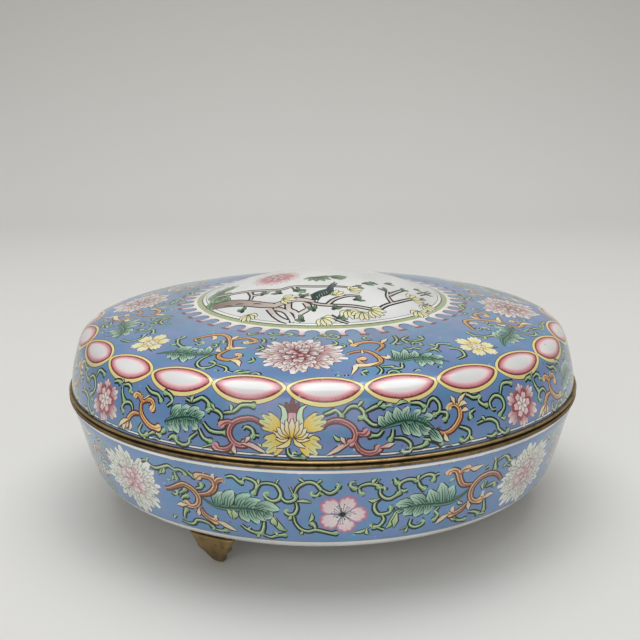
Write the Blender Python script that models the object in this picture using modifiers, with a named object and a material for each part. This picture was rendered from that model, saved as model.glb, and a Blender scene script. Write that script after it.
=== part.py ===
# A round enamelled copper box with gilt brass rims, a lift-off lid and three brass feet.
# Metres, +Z up. The origin is on the table, under the middle of the box, and -Y is its front.
import math

import bmesh
import bpy
import numpy as np

# Whole box
RIM_RADIUS = 0.1000        # outer face of both brass rims
SEAT_HEIGHT = 0.0475       # table to the top face of the bowl's rim
WALL = 0.0016              # copper with the enamel on both its sides
RIM_OVERHANG = 0.0012      # how far the rims stand out past the enamelled walls
LIP = 0.0010               # upright stretch of both walls beside the rims
GAP = 0.0003               # left between two pieces that touch
TURN_STEPS = 60            # facets round every turned piece

# Brass rims
LID_RIM_HEIGHT = 0.0012
BOWL_RIM_HEIGHT = 0.0013
LID_RIM_WIDTH = 0.0030     # radial
RIM_EDGE = 0.0003          # chamfer of the rims' outer edges
COLLAR_HEIGHT = 0.0045     # inner collar, above the top face of the bowl's rim
COLLAR_WALL = 0.0012
COLLAR_CLEARANCE = 0.0004  # between the collar and the lid's rim

# Lid, each rise measured from the stretch before it
LID_SIDE_RISE = 0.0172     # top face of the bowl's rim to the start of the shoulder
LID_SIDE_LEAN = 0.00305
SHOULDER_WIDTH = 0.00675
SHOULDER_RISE = 0.0071
FIELD_RISE = 0.0066        # shoulder to the edge of the round panel on top
PANEL_RADIUS = 0.0484
PANEL_RISE = 0.0102        # doming of that panel

# Bowl
BOWL_SIDE_DROP = 0.0236
BOWL_SIDE_LEAN = 0.0063
HEEL_WIDTH = 0.0057        # the turn between the side and the white lower edge
HEEL_DROP = 0.0071
BASE_EDGE_WIDTH = 0.0048   # the turn between the lower edge and the flat underside
BASE_EDGE_DROP = 0.00145

# Feet
FOOT_AZIMUTHS = {"foot_front": -26.7, "foot_right": 93.3, "foot_rear": 213.3}
FOOT_TOP_WIDTH = 0.0184
FOOT_TOE_WIDTH = 0.0062
FOOT_TOP_THICKNESS = 0.0052
FOOT_TOE_THICKNESS = 0.0042
FOOT_SET_IN = 0.0008       # from the bowl's lower edge to the foot's outer face
FOOT_TUCK = 0.0062         # how far the toe curves in
FOOT_CUSP = 0.0009         # the small points on the foot's two edges
FOOT_CUSP_PLACE = 0.46     # share of the height, from the top
FOOT_ROWS = 12
FOOT_COLUMNS = 6

GILT = (0.62, 0.42, 0.16)
FOOT_BRASS = (0.36, 0.24, 0.10)
LID_BLUE = (0.17, 0.28, 0.62)
BOWL_BLUE = (0.22, 0.32, 0.64)


def clear_scene():
    for item in list(bpy.data.objects):
        bpy.data.objects.remove(item)


def new_collection(name):
    group = bpy.data.collections.new(name)
    bpy.context.scene.collection.children.link(group)
    return group


def finish_material(name, colour, roughness, metallic):
    material = bpy.data.materials.new(name)
    material.use_nodes = True
    shader = material.node_tree.nodes["Principled BSDF"]
    shader.inputs["Base Color"].default_value = (*colour, 1.0)
    shader.inputs["Roughness"].default_value = roughness
    shader.inputs["Metallic"].default_value = metallic
    return material


def add_object(name, mesh, group, material):
    item = bpy.data.objects.new(name, mesh)
    group.objects.link(item)
    if not mesh.materials:
        mesh.materials.append(material)
    return item


def bend(start, pull_a, pull_b, drop, steps):
    """Points after start on a cubic curve that ends at start + drop, an (r, z) pair.
    The two pulls are shares of the drop in r and in z."""
    controls = [(0.0, 0.0), pull_a, pull_b, (1.0, 1.0)]
    points = []
    for step in range(1, steps + 1):
        t = step / steps
        weights = ((1 - t) ** 3, 3 * t * (1 - t) ** 2, 3 * t * t * (1 - t), t ** 3)
        share_r = sum(w * c[0] for w, c in zip(weights, controls))
        share_z = sum(w * c[1] for w, c in zip(weights, controls))
        points.append((start[0] + share_r * drop[0], start[1] + share_z * drop[1]))
    return points


def lid_profile():
    """Outer side of the lid from its lower edge to its top, as (r, z)."""
    edge = SEAT_HEIGHT + GAP + LID_RIM_HEIGHT + GAP
    side_rise = SEAT_HEIGHT + LID_SIDE_RISE - edge - LIP
    wall_radius = RIM_RADIUS - RIM_OVERHANG
    points = [(wall_radius, edge), (wall_radius, edge + LIP)]
    points += bend(points[-1], (0.07, 0.33), (0.52, 0.67), (-LID_SIDE_LEAN, side_rise), 3)
    points += bend(points[-1], (0.155, 0.535), (0.41, 0.845), (-SHOULDER_WIDTH, SHOULDER_RISE), 4)
    field_width = points[-1][0] - PANEL_RADIUS
    points += bend(points[-1], (0.22, 0.38), (0.57, 0.86), (-field_width, FIELD_RISE), 3)
    panel_edge = points[-1][1]
    panel_steps = 4
    for step in range(1, panel_steps + 1):
        r = PANEL_RADIUS * (1 - step / panel_steps)
        points.append((r, panel_edge + PANEL_RISE * (1 - (r / PANEL_RADIUS) ** 2)))
    return points


def bowl_profile():
    """Outer side of the bowl from its mouth down to the middle of its underside."""
    edge = SEAT_HEIGHT - BOWL_RIM_HEIGHT - GAP
    wall_radius = RIM_RADIUS - RIM_OVERHANG
    points = [(wall_radius, edge), (wall_radius, edge - LIP)]
    points += bend(points[-1], (0.35, 0.34), (0.68, 0.75), (-BOWL_SIDE_LEAN, -BOWL_SIDE_DROP), 4)
    points += bend(points[-1], (0.175, 0.437), (0.44, 0.79), (-HEEL_WIDTH, -HEEL_DROP), 3)
    points += bend(points[-1], (0.17, 0.31), (0.38, 0.76), (-BASE_EDGE_WIDTH, -BASE_EDGE_DROP), 2)
    points.append((0.0, points[-1][1]))
    return points


def lid_rim_section():
    low = SEAT_HEIGHT + GAP
    high = low + LID_RIM_HEIGHT
    inner = RIM_RADIUS - LID_RIM_WIDTH
    return [
        (RIM_RADIUS - RIM_EDGE, high),
        (RIM_RADIUS, high - RIM_EDGE),
        (RIM_RADIUS, low + RIM_EDGE),
        (RIM_RADIUS - RIM_EDGE, low),
        (inner, low),
        (inner, high),
    ]


def bowl_rim_section():
    low = SEAT_HEIGHT - BOWL_RIM_HEIGHT
    collar_outer = RIM_RADIUS - LID_RIM_WIDTH - COLLAR_CLEARANCE
    collar_inner = collar_outer - COLLAR_WALL
    collar_top = SEAT_HEIGHT + COLLAR_HEIGHT
    return [
        (RIM_RADIUS - RIM_EDGE, SEAT_HEIGHT),
        (RIM_RADIUS, SEAT_HEIGHT - RIM_EDGE),
        (RIM_RADIUS, low + RIM_EDGE),
        (RIM_RADIUS - RIM_EDGE, low),
        (collar_inner, low),
        (collar_inner, collar_top - RIM_EDGE),
        (collar_inner + RIM_EDGE, collar_top),
        (collar_outer - RIM_EDGE, collar_top),
        (collar_outer, collar_top - RIM_EDGE),
        (collar_outer, SEAT_HEIGHT),
    ]


def turn(name, profile, closed, group, material):
    """Turns a profile that runs down its outer side about the Z axis."""
    mesh = bpy.data.meshes.new(name)
    edges = [(i, i + 1) for i in range(len(profile) - 1)]
    if closed:
        edges.append((len(profile) - 1, 0))
    mesh.from_pydata([(r, 0.0, z) for r, z in profile], edges, [])
    item = add_object(name, mesh, group, material)
    screw = item.modifiers.new("Turn", "SCREW")
    screw.axis = "Z"
    screw.steps = TURN_STEPS
    screw.render_steps = TURN_STEPS
    screw.use_merge_vertices = True
    screw.merge_threshold = 0.00001
    screw.use_smooth_shade = True
    return item


def turn_shell(name, profile, group, material):
    """A turned skin with the wall's thickness added on its inner side."""
    item = turn(name, profile, False, group, material)
    wall = item.modifiers.new("Wall", "SOLIDIFY")
    wall.thickness = WALL
    wall.offset = -1.0
    wall.use_even_offset = True
    wall.use_rim = True
    return item


def underside_height(r):
    """Height of the bowl's underside at radius r."""
    inward = bowl_profile()[::-1]
    radii, heights = zip(*inward)
    return float(np.interp(r, radii[:-2], heights[:-2]))


def foot_half_width(t):
    """Half the foot's width at share t of its height, with a cusp part of the way down."""
    plain = FOOT_TOE_WIDTH + (FOOT_TOP_WIDTH - FOOT_TOE_WIDTH) * (1 - t) ** 1.3
    cusp = FOOT_CUSP * math.exp(-abs(t - FOOT_CUSP_PLACE) / 0.07)
    return plain / 2 + cusp


def foot_mesh():
    """A curved bracket under the bowl's edge, wide on top and narrow at the toe.
    Each row is an arc about the box's axis, so the foot follows the bowl round."""
    outer_top = RIM_RADIUS - RIM_OVERHANG - BOWL_SIDE_LEAN - HEEL_WIDTH - FOOT_SET_IN
    form = bmesh.new()
    faces = []
    for side in ("outer", "inner"):
        rows = []
        for row in range(FOOT_ROWS + 1):
            t = row / FOOT_ROWS
            depth = FOOT_TOP_THICKNESS + (FOOT_TOE_THICKNESS - FOOT_TOP_THICKNESS) * t
            back = depth if side == "inner" else 0.0
            r = outer_top - FOOT_TUCK * t ** 1.6 - back
            top = underside_height(outer_top - (FOOT_TOP_THICKNESS if back else 0.0)) - GAP
            half = foot_half_width(t)
            line = []
            for column in range(FOOT_COLUMNS + 1):
                angle = half * (2 * column / FOOT_COLUMNS - 1) / r
                line.append(form.verts.new((r * math.sin(angle), -r * math.cos(angle), top * (1 - t))))
            rows.append(line)
        faces.append(rows)
    outer, inner = faces
    for row in range(FOOT_ROWS):
        for column in range(FOOT_COLUMNS):
            a, b = outer[row][column], outer[row][column + 1]
            c, d = outer[row + 1][column + 1], outer[row + 1][column]
            form.faces.new((a, d, c, b))
            a, b = inner[row][column], inner[row][column + 1]
            c, d = inner[row + 1][column + 1], inner[row + 1][column]
            form.faces.new((a, b, c, d))
        for column in (0, FOOT_COLUMNS):
            form.faces.new((outer[row][column], inner[row][column],
                            inner[row + 1][column], outer[row + 1][column]))
    for row in (0, FOOT_ROWS):
        for column in range(FOOT_COLUMNS):
            form.faces.new((outer[row][column], outer[row][column + 1],
                            inner[row][column + 1], inner[row][column]))
    bmesh.ops.recalc_face_normals(form, faces=form.faces)
    mesh = bpy.data.meshes.new("foot")
    form.to_mesh(mesh)
    form.free()
    mesh.shade_smooth()
    mesh.set_sharp_from_angle(angle=math.radians(30))
    return mesh


def build_box():
    clear_scene()
    group = new_collection("enamel_box")
    gilt = finish_material("gilt_brass", GILT, 0.35, 1.0)
    foot_brass = finish_material("foot_brass", FOOT_BRASS, 0.5, 1.0)
    lid_enamel = finish_material("lid_enamel", LID_BLUE, 0.2, 0.0)
    bowl_enamel = finish_material("bowl_enamel", BOWL_BLUE, 0.2, 0.0)
    turn_shell("lid", lid_profile()[::-1], group, lid_enamel)
    turn("lid_rim", lid_rim_section(), True, group, gilt)
    turn_shell("bowl", bowl_profile(), group, bowl_enamel)
    turn("bowl_rim", bowl_rim_section(), True, group, gilt)
    foot = foot_mesh()
    for name, azimuth in FOOT_AZIMUTHS.items():
        item = add_object(name, foot, group, foot_brass)
        item.rotation_euler = (0.0, 0.0, math.radians(azimuth))


build_box()
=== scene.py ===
import math

import bpy
import numpy as np
from mathutils import Matrix, Vector
from mathutils.geometry import delaunay_2d_cdt


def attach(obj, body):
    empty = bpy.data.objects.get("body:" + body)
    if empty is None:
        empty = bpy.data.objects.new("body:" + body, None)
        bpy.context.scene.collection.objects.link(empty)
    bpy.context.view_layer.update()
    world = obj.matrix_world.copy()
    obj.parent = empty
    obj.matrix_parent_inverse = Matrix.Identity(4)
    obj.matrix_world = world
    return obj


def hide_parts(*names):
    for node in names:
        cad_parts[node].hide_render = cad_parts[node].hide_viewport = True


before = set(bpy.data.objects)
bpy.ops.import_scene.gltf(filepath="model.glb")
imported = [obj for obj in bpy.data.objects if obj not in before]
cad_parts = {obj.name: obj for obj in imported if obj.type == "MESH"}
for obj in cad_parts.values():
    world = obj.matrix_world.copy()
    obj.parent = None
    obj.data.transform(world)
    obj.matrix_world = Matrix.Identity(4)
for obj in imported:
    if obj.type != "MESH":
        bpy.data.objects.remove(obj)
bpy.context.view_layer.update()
mm = 0.001
print("frame loaded")

# Outlines run from the axis to the rim, (radius, height) in mm. Rings hold the loose points of the
# painted face: (out to this length, gap between rings, points in each).
lidLook = {
    "outline": [(0.0, 88.6), (12.1, 87.96), (24.2, 86.05), (36.3, 82.86), (48.4, 78.4), (64.7, 76.84),
                (78.38, 74.42), (89.0, 71.8), (91.59, 70.76), (93.48, 69.26), (94.81, 67.26), (95.75, 64.7),
                (97.14, 59.91), (98.24, 55.09), (98.8, 50.3), (98.8, 49.3)],
    "facing": 1,  # the painted face looks up
    "wall": 1.6,
    "seam": 89.0,  # length along the outline where lid_top and lid_edge meet
    "columns": 160,
    "rings": [(16, 4.0, 20), (40, 4.0, 40), (86, 4.0, 72), (101, 1.2, 144), (120, 3.2, 80)],
    "innerRings": 12,
    "mottle": 0.75,
}
bowlLook = {
    "outline": [(0.0, 12.75), (40.0, 12.75), (82.0, 12.75), (85.21, 13.44), (86.8, 14.2), (89.47, 16.01),
                (91.29, 18.41), (92.5, 21.3), (94.02, 26.35), (95.58, 32.3), (97.17, 38.66), (98.8, 44.9),
                (98.8, 45.9)],
    "facing": -1,  # the painted face looks down
    "wall": 1.6,
    "columns": 160,
    "rings": [(78, 8.0, 32), (101, 1.3, 160), (130, 2.5, 80)],
    "innerRings": 16,
    "mottle": 0.6,
}

# Glaze colours as sRGB, 0 to 255
paint = {
    "blue": (98, 132, 178),
    "bowlBlue": (107, 144, 190),
    # the next two blues are the lid's blue paled with grey, a painted sheen where the lid's top faces up
    "paintedSheenBlue": (126, 154, 178),
    "lappetSheenBlue": (110, 141, 178),
    "white": (238, 238, 234),
    "outline": (5, 14, 10),
    "leafDark": (16, 62, 50),
    "leaf": (82, 138, 114),
    "leafPale": (186, 218, 198),
    "vine": (132, 173, 124),
    "vineLight": (206, 222, 172),
    "moss": (172, 180, 132),
    "yellow": (228, 208, 84),
    "strongYellow": (226, 190, 48),
    "paleYellow": (230, 216, 142),
    "cream": (228, 228, 204),
    "gold": (186, 112, 54),
    "goldPale": (236, 206, 142),
    "coral": (138, 60, 62),
    "coralPale": (214, 156, 156),
    "brown": (88, 40, 32),
    "rust": (142, 78, 54),
    "rustPale": (232, 196, 148),
    "mauve": (186, 112, 146),
    "rosePale": (206, 132, 140),
    "greyEdge": (132, 130, 122),
    "crimson": (122, 30, 38),
    "rose": (172, 82, 88),
    "pink": (214, 152, 158),
    "pinkWhite": (228, 184, 188),
    "palePink": (236, 212, 212),
    "bark": (126, 104, 94),
    "barkPale": (204, 188, 178),
    "paleGreen": (214, 224, 202),
    "greyLine": (140, 144, 146),
    "grey": (104, 116, 112),
    "teal": (22, 66, 70),
    "panelWhite": (222, 223, 221),
}


# The linear value of a glaze colour: v / 12.92 when dark, else ((v + 0.055) / 1.055)^2.4
def linear(name):
    value = np.array(paint[name]) / 255.0
    return np.where(value <= 0.04045, value / 12.92, ((value + 0.055) / 1.055) ** 2.4)


# A smooth outline: cubic Hermite curves through the points, level at the axis and straight at the
# rim, measured by the length s along the gaps between the points. Gives (radius, height) and the
# normal, the slope turned a quarter, at each s.
def outlineAt(points, s):
    knots = np.array(points, float)
    gaps = np.linalg.norm(np.diff(knots, axis=0), axis=1)
    along = np.concatenate([[0.0], np.cumsum(gaps)])
    slopes = np.gradient(knots, along, axis=0)
    slopes[0] = (1.0, 0.0)
    slopes[-1] = (knots[-1] - knots[-2]) / gaps[-1]
    s = np.clip(s, 0.0, along[-1])
    cell = np.clip(np.searchsorted(along, s, side="right") - 1, 0, len(gaps) - 1)
    gap = gaps[cell][:, None]
    t = ((s - along[cell]) / gaps[cell])[:, None]
    a, b, da, db = knots[cell], knots[cell + 1], slopes[cell], slopes[cell + 1]
    place = (a * (2 * t**3 - 3 * t**2 + 1) + da * gap * (t**3 - 2 * t**2 + t)
             + b * (3 * t**2 - 2 * t**3) + db * gap * (t**3 - t**2))
    lean = (a * (6 * t**2 - 6 * t) + da * gap * (3 * t**2 - 4 * t + 1)
            + b * (6 * t - 6 * t**2) + db * gap * (3 * t**2 - 2 * t)) / gap
    normal = np.stack([-lean[:, 1], lean[:, 0]], axis=1)
    normal /= np.linalg.norm(normal, axis=1)[:, None]
    return place, normal


# The sum of the gaps between the points
def outlineLength(points):
    return float(np.linalg.norm(np.diff(np.array(points, float), axis=0), axis=1).sum())


# The painting is flat shapes, one over another, on a disc unrolled from the surface: x and y in mm,
# with the distance from the middle as the length along the outline
class Painting:
    def __init__(self):
        self.shapes = []
        self.inks = []

    # A filled shape. Its ink fades from the first colour to the second, and its cover from cover to
    # fade, along the line from start to end. With oval above 0 it fades outward from start, as far
    # as end along that line and oval times as far across it.
    def fill(self, points, ink, second=None, start=(0, 0), end=(1, 0), oval=0.0, cover=1.0, fade=None):
        points = np.asarray(points, float)
        x, y = points[:, 0], points[:, 1]
        if np.sum(x * np.roll(y, -1) - np.roll(x, -1) * y) < 0:
            points = points[::-1]
        self.shapes.append(points)
        first = linear(ink)
        last = linear(second) if second else first
        fade = cover if fade is None else fade
        self.inks.append((*first, cover, *last, fade, *start, *end, oval))


# How strokes are drawn, in mm and radians. A bulb is the last part of a line that ends in a knob:
# (distance from the end, width), both in knob sizes.
strokes = {
    "turn": 0.42,  # bend between two points of a line
    "reach": 3.6,  # longest straight run between two points
    "steps": 8,
    "least": 0.02,
    "room": 0.8,  # share of the bend's radius that half a width may take
    "cut": 2.2,  # a stroke is cut where it has turned this far, so that no part crosses itself
    "bulb": [(2.3, 0.95), (1.7, 1.1), (1.1, 1.75), (0.5, 1.85), (0.0, 1.0)],
    "bulbRoom": 3.0,  # knob sizes that a line needs to take a bulb
    "bulbGap": 0.2,
}


# A line through the points: Catmull-Rom, (2b + (c - a) t + (2a - 5b + 4c - d) t^2
# + (3b - a - 3c + d) t^3) / 2, kept fine where it bends and coarse where it runs straight
def curve(points, turn):
    p = np.asarray(points, float)
    p = np.vstack([2 * p[:1] - p[1:2], p, 2 * p[-1:] - p[-2:-1]])
    t = np.linspace(0, 1, strokes["steps"] + 1)[:-1][None, :, None]
    a, b, c, d = (p[i:len(p) - 3 + i][:, None] for i in range(4))
    line = 0.5 * (2 * b + (c - a) * t + (2 * a - 5 * b + 4 * c - d) * t**2 + (3 * b - a - 3 * c + d) * t**3)
    line = np.vstack([line.reshape(-1, 2), p[-2:-1]])
    step = np.diff(line, axis=0)
    heading = np.unwrap(np.arctan2(step[:, 1], step[:, 0]))
    bends = np.abs(np.diff(heading, prepend=heading[0]))
    measure = np.cumsum(bends / turn + np.linalg.norm(step, axis=1) / strokes["reach"])
    keep = np.diff(np.floor(measure), prepend=-1) > 0
    return np.vstack([line[:-1][keep], line[-1:]])


# Both edges of a brush stroke, line + w n / 2 and line - w n / 2 for its width w and side way n,
# with w held back in tight bends; the last value is how far the line has turned
def strokeEdges(line, widths):
    step = np.diff(line, axis=0)
    length = np.linalg.norm(step, axis=1)
    heading = np.unwrap(np.arctan2(step[:, 1], step[:, 0]))
    middle = np.concatenate([heading[:1], (heading[1:] + heading[:-1]) / 2, heading[-1:]])
    half = widths / 2
    bend = np.abs(np.diff(heading))
    room = np.minimum(length[1:], length[:-1]) / np.maximum(bend, 1e-6)
    half[1:-1] = np.minimum(half[1:-1], strokes["room"] * room)
    half = np.maximum(half, strokes["least"])
    side = np.stack([-np.sin(middle), np.cos(middle)], axis=1) * half[:, None]
    return line + side, line - side, np.concatenate([[0.0], np.cumsum(bend), [np.sum(bend)]])


# A brush stroke: its width runs through the given widths at even shares of its length, all of them
# wider by grow, and it ends in a bulb where knob gives one a size
def stroke(painting, place, points, widths, ink, second=None, shift=(0, 0), cover=1.0, smooth=True,
           turn=strokes["turn"], knob=0.0, grow=0.0):
    line = curve(points, turn) if smooth else np.asarray(points, float)
    line = line + np.array(shift)
    step = np.linalg.norm(np.diff(line, axis=0), axis=1)
    along = np.concatenate([[0.0], np.cumsum(step)])
    wide = np.interp(along / along[-1], np.linspace(0, 1, len(widths)), np.array(widths) + grow)
    if knob and along[-1] > strokes["bulbRoom"] * knob:
        near = np.array([along[-1] - away * knob for away, swell in strokes["bulb"]])
        kept = along < near[0] - strokes["bulbGap"]
        rest = np.stack([np.interp(near, along, line[:, 0]), np.interp(near, along, line[:, 1])], axis=1)
        line = np.vstack([line[kept], rest])
        wide = np.concatenate([wide[kept], [swell * knob + grow for away, swell in strokes["bulb"]]])
    left, right, turned = strokeEdges(line, wide)
    part = np.floor(turned / strokes["cut"]).astype(int)
    start, end = place(line[[0, -1]])
    for number in np.unique(part):
        held = np.where(part == number)[0]
        first = max(held[0] - 1, 0)
        last = held[-1]
        if last > first:
            run = slice(first, last + 1)
            outline = place(np.vstack([left[run], right[run][::-1]]))
            painting.fill(outline, ink, second, start, end, cover=cover)


# An oval round a middle point, (rx cos a, ry sin a), in the motif's own plane
def blob(painting, place, middle, radii, ink, second=None, points=16):
    angle = np.linspace(0, 2 * math.pi, points, endpoint=False)
    flat = np.stack([np.cos(angle) * radii[0], np.sin(angle) * radii[1]], axis=1) + np.array(middle)
    centre = place(np.array([middle]))[0]
    edge = centre + np.array([max(radii), 0.0])
    painting.fill(place(flat), ink, second, centre, edge, oval=1.0)


# The point at an angle round the box and a length along the outline: (s sin a, -s cos a)
def onDisc(s, angle):
    return np.stack([s * np.sin(angle), -s * np.cos(angle)], axis=1)


# (cos a, sin a)
def toward(turn):
    return np.array([math.cos(turn), math.sin(turn)])


# Where a motif goes, as a function from its own plane to the disc. On the sides the first number runs
# round the box, by the angle x / radius, and the second down it, by the length y.
def onBand(azimuth, radius, stretch=1.0, base=0.0):
    def place(points):
        angle = np.radians(azimuth) + points[:, 0] * stretch / radius
        s = points[:, 1] + base
        return onDisc(s, angle)
    return place


# On the lid's top the plane is only turned and moved: the first number runs across, the second out
def onTop(azimuth, s, stretch=1.0):
    a = math.radians(azimuth)
    out = np.array([math.sin(a), -math.cos(a)])
    across = toward(a) * stretch

    def place(points):
        return out * (s + points[:, 1:]) + across * points[:, :1]
    return place


def circle(radius, count=160):
    angle = np.linspace(0, 2 * math.pi, count, endpoint=False)
    return onDisc(radius, angle)


# Colour families of strokes: the dark edge, the body and the line along it
tones = {
    "vine": ("outline", "vine", "vineLight"),
    "gold": ("brown", "goldPale", "gold"),
    "coral": ("brown", "coralPale", "coral"),
    "rust": ("brown", "rustPale", "rust"),
}


# Strokes of one family: the dark edges of all first, then the bodies, then a line along each, which
# is light and toward the upper side on vines, and deep and toward the lower side on the warm scrolls
def brush(painting, place, paths, width, tone, knob):
    dark, body, line = tones[tone]
    for path in paths:
        widths = (0.5 * width, width, 1.05 * width, 0.85 * width)
        stroke(painting, place, path, widths, dark, shift=(0.04, 0.08), knob=knob * width, grow=1.2)
    for path in paths:
        widths = (0.4 * width, 0.9 * width, width, 0.75 * width)
        stroke(painting, place, path, widths, body, knob=0.95 * knob * width)
    for path in paths:
        if tone == "vine":
            widths = (0.1, 0.42 * width, 0.42 * width, 0.3 * width)
            stroke(painting, place, path, widths, line, shift=(-0.1 * width, -0.16 * width), cover=0.9,
                   turn=0.6)
        else:
            widths = (0.34 * width, 0.56 * width, 0.54 * width, 0.2 * width)
            stroke(painting, place, path, widths, line, shift=(0.06 * width, 0.1 * width), cover=0.9,
                   turn=0.6)


# Short pointed strokes at the sides and ends of the longer ones
def leaflets(painting, place, paths, width, tone):
    dark, body, line = tones[tone]
    first, last = (line, body) if tone == "vine" else (body, "cream")
    for path in paths:
        stroke(painting, place, path, (0.9, width + 0.9, width + 0.8, 0.6), dark, shift=(0.04, 0.1), turn=0.5)
        stroke(painting, place, path, (0.2, width, 0.9 * width, 0.1), first, last, turn=0.5)


# An acanthus leaf: pointed lobes to both sides of a curved rib, each over the last with its own
# dark edge, pale toward its tip
def acanthus(painting, place, rib, lobes, width):
    swell = np.array([0.7, 1.25, 1.5, 1.15, 0.3]) * width
    stroke(painting, place, rib, (0.9, 2.4, 3.0, 2.3, 0.7), "outline")
    for path in lobes:
        stroke(painting, place, path, swell, "outline", shift=(0.05, 0.1), grow=0.95)
    stroke(painting, place, rib, (0.6, 1.8, 2.3, 1.7, 0.4), "leaf")
    for path in lobes:
        stroke(painting, place, path, swell, "outline", grow=0.45)
        stroke(painting, place, path, swell, "leaf", "leafPale")
        start, tip = np.array(path[0]), np.array(path[-1])
        bow = np.array(path[1])
        across = np.array([-(tip - start)[1], (tip - start)[0]]) / np.linalg.norm(tip - start)
        for side, far in ((-0.34, 0.7), (0.0, 0.9), (0.3, 0.74)):
            end = start * (1 - far) + tip * far
            line = np.array([start, bow * far + start * (1 - far), end]) + across * side * width
            stroke(painting, place, line, (0.42, 0.3, 0.06), "leafDark", smooth=False)
    stroke(painting, place, rib, (0.4, 0.7, 0.6, 0.2), "leafDark", turn=0.5)


# A petal seen from above. At the share u of its spread, -1 to 1, it reaches
# length (1 - fall u^2) (1 - notch + notch |sin(pi scallops (u + 1) / 2)|), so it falls off to both
# sides and is notched between its scallops. With blend the ink fades between two shares of its
# length, and otherwise round its root.
def petal(painting, place, middle, turn, length, spread, scallops, inner, outer,
          edge=None, notch=0.12, start=0.12, fall=0.25, rim=0.22, cover=1.0, blend=None):
    share = np.linspace(-1, 1, 3 * scallops + 1)
    tips = np.abs(np.sin(math.pi * scallops * (share + 1) / 2))
    reach = length * (1 - fall * share**2) * (1 - notch + notch * tips)
    middle = np.array(middle, float)

    def outline(grow, slack):
        wide = turn + share * (spread + slack)
        far = middle + (reach + grow)[:, None] * np.stack([np.cos(wide), np.sin(wide)], axis=1)
        near = turn + np.array([0.8, -0.8]) * spread
        base = middle + start * length * np.stack([np.cos(near), np.sin(near)], axis=1)
        return place(np.vstack([far, base]))

    centre = place(middle[None])[0]
    far = place(middle[None] + length * toward(turn))[0]
    if edge:
        painting.fill(outline(rim, rim / length), edge)
    if blend:
        centre, far = centre + np.outer(blend, far - centre)
    painting.fill(outline(0, 0), inner, outer, centre, far, oval=0.0 if blend else 1.0, cover=cover)


# Even angles all round, from the first
def ring(count, first=0.0):
    return [first + number * 2 * math.pi / count for number in range(count)]


# Rows of ragged petals from the outside in, (how many, reach, spread, scallops, first angle), each
# row pale at its tips and deep at its root; the inks are the root of the outer rows and of the
# inner ones, the tips and the edges
def peony(painting, place, size, inks, rng):
    outer, inner, tip, edge = inks
    rows = [(8, 1.0, 0.38, 3, 0.1, outer), (8, 0.8, 0.37, 3, 0.5, outer), (7, 0.6, 0.4, 2, 0.15, inner),
            (6, 0.4, 0.44, 2, 0.6, inner), (5, 0.22, 0.5, 1, 0.1, inner)]
    for count, far, spread, scallops, first, root in rows:
        blob(painting, place, (0, 0), (0.66 * far * size, 0.66 * far * size), edge, points=18)
        for turn in ring(count, first):
            turn += rng.uniform(-0.09, 0.09)
            long = size * far * rng.uniform(0.88, 1.06)
            petal(painting, place, (0, 0), turn, long, spread, scallops, root, tip, edge=edge, notch=0.2,
                  rim=0.26, start=0.3, fall=0.24, blend=(0.44, 0.88))
            if far > 0.5:
                for side in (-0.2, -0.04, 0.1, 0.22):
                    way = toward(turn + side) * long
                    stroke(painting, place, [way * 0.62, way * rng.uniform(0.8, 0.92)], (0.55, 0.34, 0.06),
                           edge, smooth=False, cover=0.7)
        if far == rows[1][1]:
            # filaments between the second row and the third
            for turn in ring(10, 0.2):
                way = toward(turn) * size
                stroke(painting, place, [way * 0.52, way * 0.72], (0.4, 1.6, 0.3), "moss", smooth=False)
    blob(painting, place, (0, 0), (size * 0.06, size * 0.06), "white", "pink", points=8)


blossomLook = {"size": 7.9, "petals": 5, "first": 1.2, "spread": 0.94, "stamens": 24, "heart": "outline"}


# A five-petalled blossom from above: veined petals, then the stamens with their heads
def blossom(painting, place, rng):
    size, heart = blossomLook["size"], blossomLook["heart"]
    spread = math.pi / blossomLook["petals"] * blossomLook["spread"]
    for turn in ring(blossomLook["petals"], blossomLook["first"]):
        long = size * rng.uniform(0.92, 1.1)
        petal(painting, place, (0, 0), turn, long, spread, 4, "white", "mauve", edge="mauve", notch=0.1,
              fall=0.3, rim=0.3)
        petal(painting, place, (0, 0), turn, long * 0.9, spread * 0.9, 4, "white", "palePink", notch=0.1,
              fall=0.3, cover=0.85)
        for side in (-0.3, 0.0, 0.3):
            way = toward(turn + side)
            stroke(painting, place, [way * long * 0.3, way * long * 0.72], (0.12, 0.3, 0.05), "mauve",
                   smooth=False, cover=0.6)
    for turn in ring(blossomLook["stamens"]):
        spin = turn + rng.uniform(-0.12, 0.12)
        way = toward(spin)
        far = size * rng.uniform(0.26, 0.52)
        stroke(painting, place, [way * size * 0.1, way * far], (0.26, 0.16), heart, smooth=False, cover=0.8)
        blob(painting, place, way * far, (0.24, 0.24), heart, points=5)
    blob(painting, place, (0, 0), (size * 0.14, size * 0.12), heart, points=10)


# A yellow blossom from above: six scalloped petals, six gold ones inside and a green heart
def yellowBlossom(painting, place, size, rng):
    for turn in ring(6, 0.2):
        long = size * rng.uniform(0.9, 1.1)
        petal(painting, place, (0, 0), turn, long, 0.46, 4, "yellow", "cream", edge="brown", notch=0.14)
        petal(painting, place, (0, 0), turn, long * 0.6, 0.3, 1, "gold", "yellow", cover=0.7)
    for turn in ring(6, 0.7):
        petal(painting, place, (0, 0), turn, size * 0.42, 0.42, 2, "gold", "cream", edge="brown", rim=0.18)
    for turn in ring(7):
        way = toward(turn) * size * 0.13
        blob(painting, place, way, (0.5, 0.5), "cream", points=6)
    blob(painting, place, (0, 0), (0.6, 0.6), "vine", points=7)


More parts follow.
